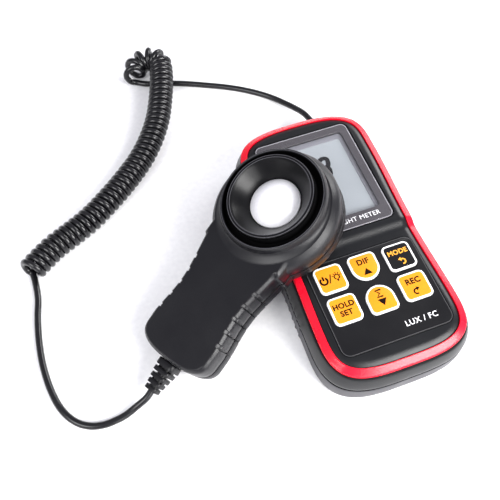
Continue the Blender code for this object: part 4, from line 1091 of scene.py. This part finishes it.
def coil_route():
    """The coil's centre line with the tight curl at its far end."""
    curl = arc(CURL_CENTRE, CURL_RADIUS, 0, CURL_TURN, CURL_STEPS)
    heights = [11.6 - 4.1 * smoothstep(i / CURL_STEPS) for i in range(CURL_STEPS + 1)]
    return list(COIL_CENTRES) + [(*point, z) for point, z in zip(curl, heights)]


def helix():
    """The wire's centre line in the coil: it starts and ends at the bottom of a whole turn."""
    centres = smooth_route(coil_route(), 0.5)
    curl_start = len(centres) * (1 - 31.0 / (0.5 * len(centres)))
    turns = [0.0]
    for i in range(1, len(centres)):
        share = smoothstep((i - curl_start) / 12.0)
        wander = 1.0 + 0.035 * sin(i * 0.071) + 0.025 * sin(i * 0.173 + 1.0)
        pitch = (COIL_PITCH + (CURL_PITCH - COIL_PITCH) * share) * wander
        turns.append(turns[-1] + 0.5 / pitch)
    whole = round(turns[-1])
    turns = [turn * whole / turns[-1] for turn in turns]
    radius = COIL_RADIUS - CORD_RADIUS
    points = []
    for turn, index, share in even_steps(turns, whole * POINTS_PER_TURN):
        centre = centres[index].lerp(centres[index + 1], share)
        low, high = max(index - 4, 0), min(index + 5, len(centres) - 1)
        axis = (centres[high] - centres[low]).normalized()
        left = Vector((-axis.y, axis.x, 0)).normalized()
        up = axis.cross(left)
        phase = 2 * pi * turn
        points.append(centre + left * (radius * sin(phase)) - up * (radius * cos(phase)))
    return points


def cord_path():
    """The whole wire from the probe's sleeve through the coil to the meter's sleeve."""
    probe = probe_matrix()
    tip = probe @ (Vector((RELIEF_END_U + 0.4, 0, RELIEF_W)) * MM) / MM
    back = probe.to_3x3() @ Vector((-1, 0, 0))
    coil = helix()
    first = smooth_route([tip, tip + back * 4.9] + LEAD_TO_PROBE + coil[:6:3], 1.2)
    socket = Vector((ENTRY_X, entry_face_y() + ENTRY_LENGTH - 0.4, ENTRY_Z))
    last = smooth_route(coil[-7::3] + LEAD_TO_METER + [socket + Vector((-0.2, 3.0, -0.4)), socket], 1.2)
    return first[:-1] + coil[3:-7] + last


def tube_mesh(name, points, radius, sides=14):
    """A closed tube whose rings don't twist along the line."""
    rings = []
    normal = Vector((0, 0, 1))
    angles = [2 * pi * k / sides for k in range(sides)]
    for i, point in enumerate(points):
        along = (points[min(i + 1, len(points) - 1)] - points[max(i - 1, 0)]).normalized()
        normal = (normal - along * normal.dot(along)).normalized()
        side = along.cross(normal)
        rings.append([point + normal * (radius * cos(a)) + side * (radius * sin(a))
                      for a in angles])
    return loft(name, rings)


def make_cord(look):
    """One wire from end to end, fixed in the scene and not attached to a body."""
    path = cord_path()
    cord = tube_mesh("cord", path, CORD_RADIUS)
    shade(cord, 60)
    paint(cord, look)
    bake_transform(cord)
    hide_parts("lead_to_probe", "cord_coil", "lead_to_meter")


# ---- the pieces kept from the CAD

def dress_cad_nodes(looks):
    """Materials for the CAD nodes that show as they are."""
    dressed = {"rear": ["battery_door"], "inner": ["lcd_holder", "buzzer", "controller_chip"],
               "mat": ["lcd_connector", "key_mat"], "board": ["circuit_board", "sensor_board"],
               "cell": [f"battery_cell_{i}" for i in (1, 2, 3)],
               "metal": ["contact_lower", "contact_upper", "probe_screw_1", "probe_screw_2"]
               + [f"case_screw_{i}" for i in (1, 2, 3, 4)],
               "dome": ["lcd_backlight"], "filter": ["sensor_filter"], "diode": ["photodiode"]}
    for look, names in dressed.items():
        for name in names:
            paint(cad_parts[name], looks[look])


def main():
    make_camera()
    make_floor()
    make_light()
    looks = make_looks()
    make_cord(looks["cord"])
    dress_cad_nodes(looks)
    make_upper_case(looks["case"])
    make_lower_case(looks["rear"])
    make_ring(looks["ring"])
    make_display(looks)
    make_keypad(looks)
    make_entry_sleeve(looks["relief"])
    make_probe_upper(looks["probe"])
    make_probe_lower(looks["probe"])
    make_painted_groove_shade(looks["groove"])
    make_seam_shade(looks["groove"])
    make_bowl(looks["bowl"])
    make_painted_rim_highlights(looks["rim_highlight"])
    make_dome(looks["dome"])
    make_probe_sleeve(looks["relief"])


main()
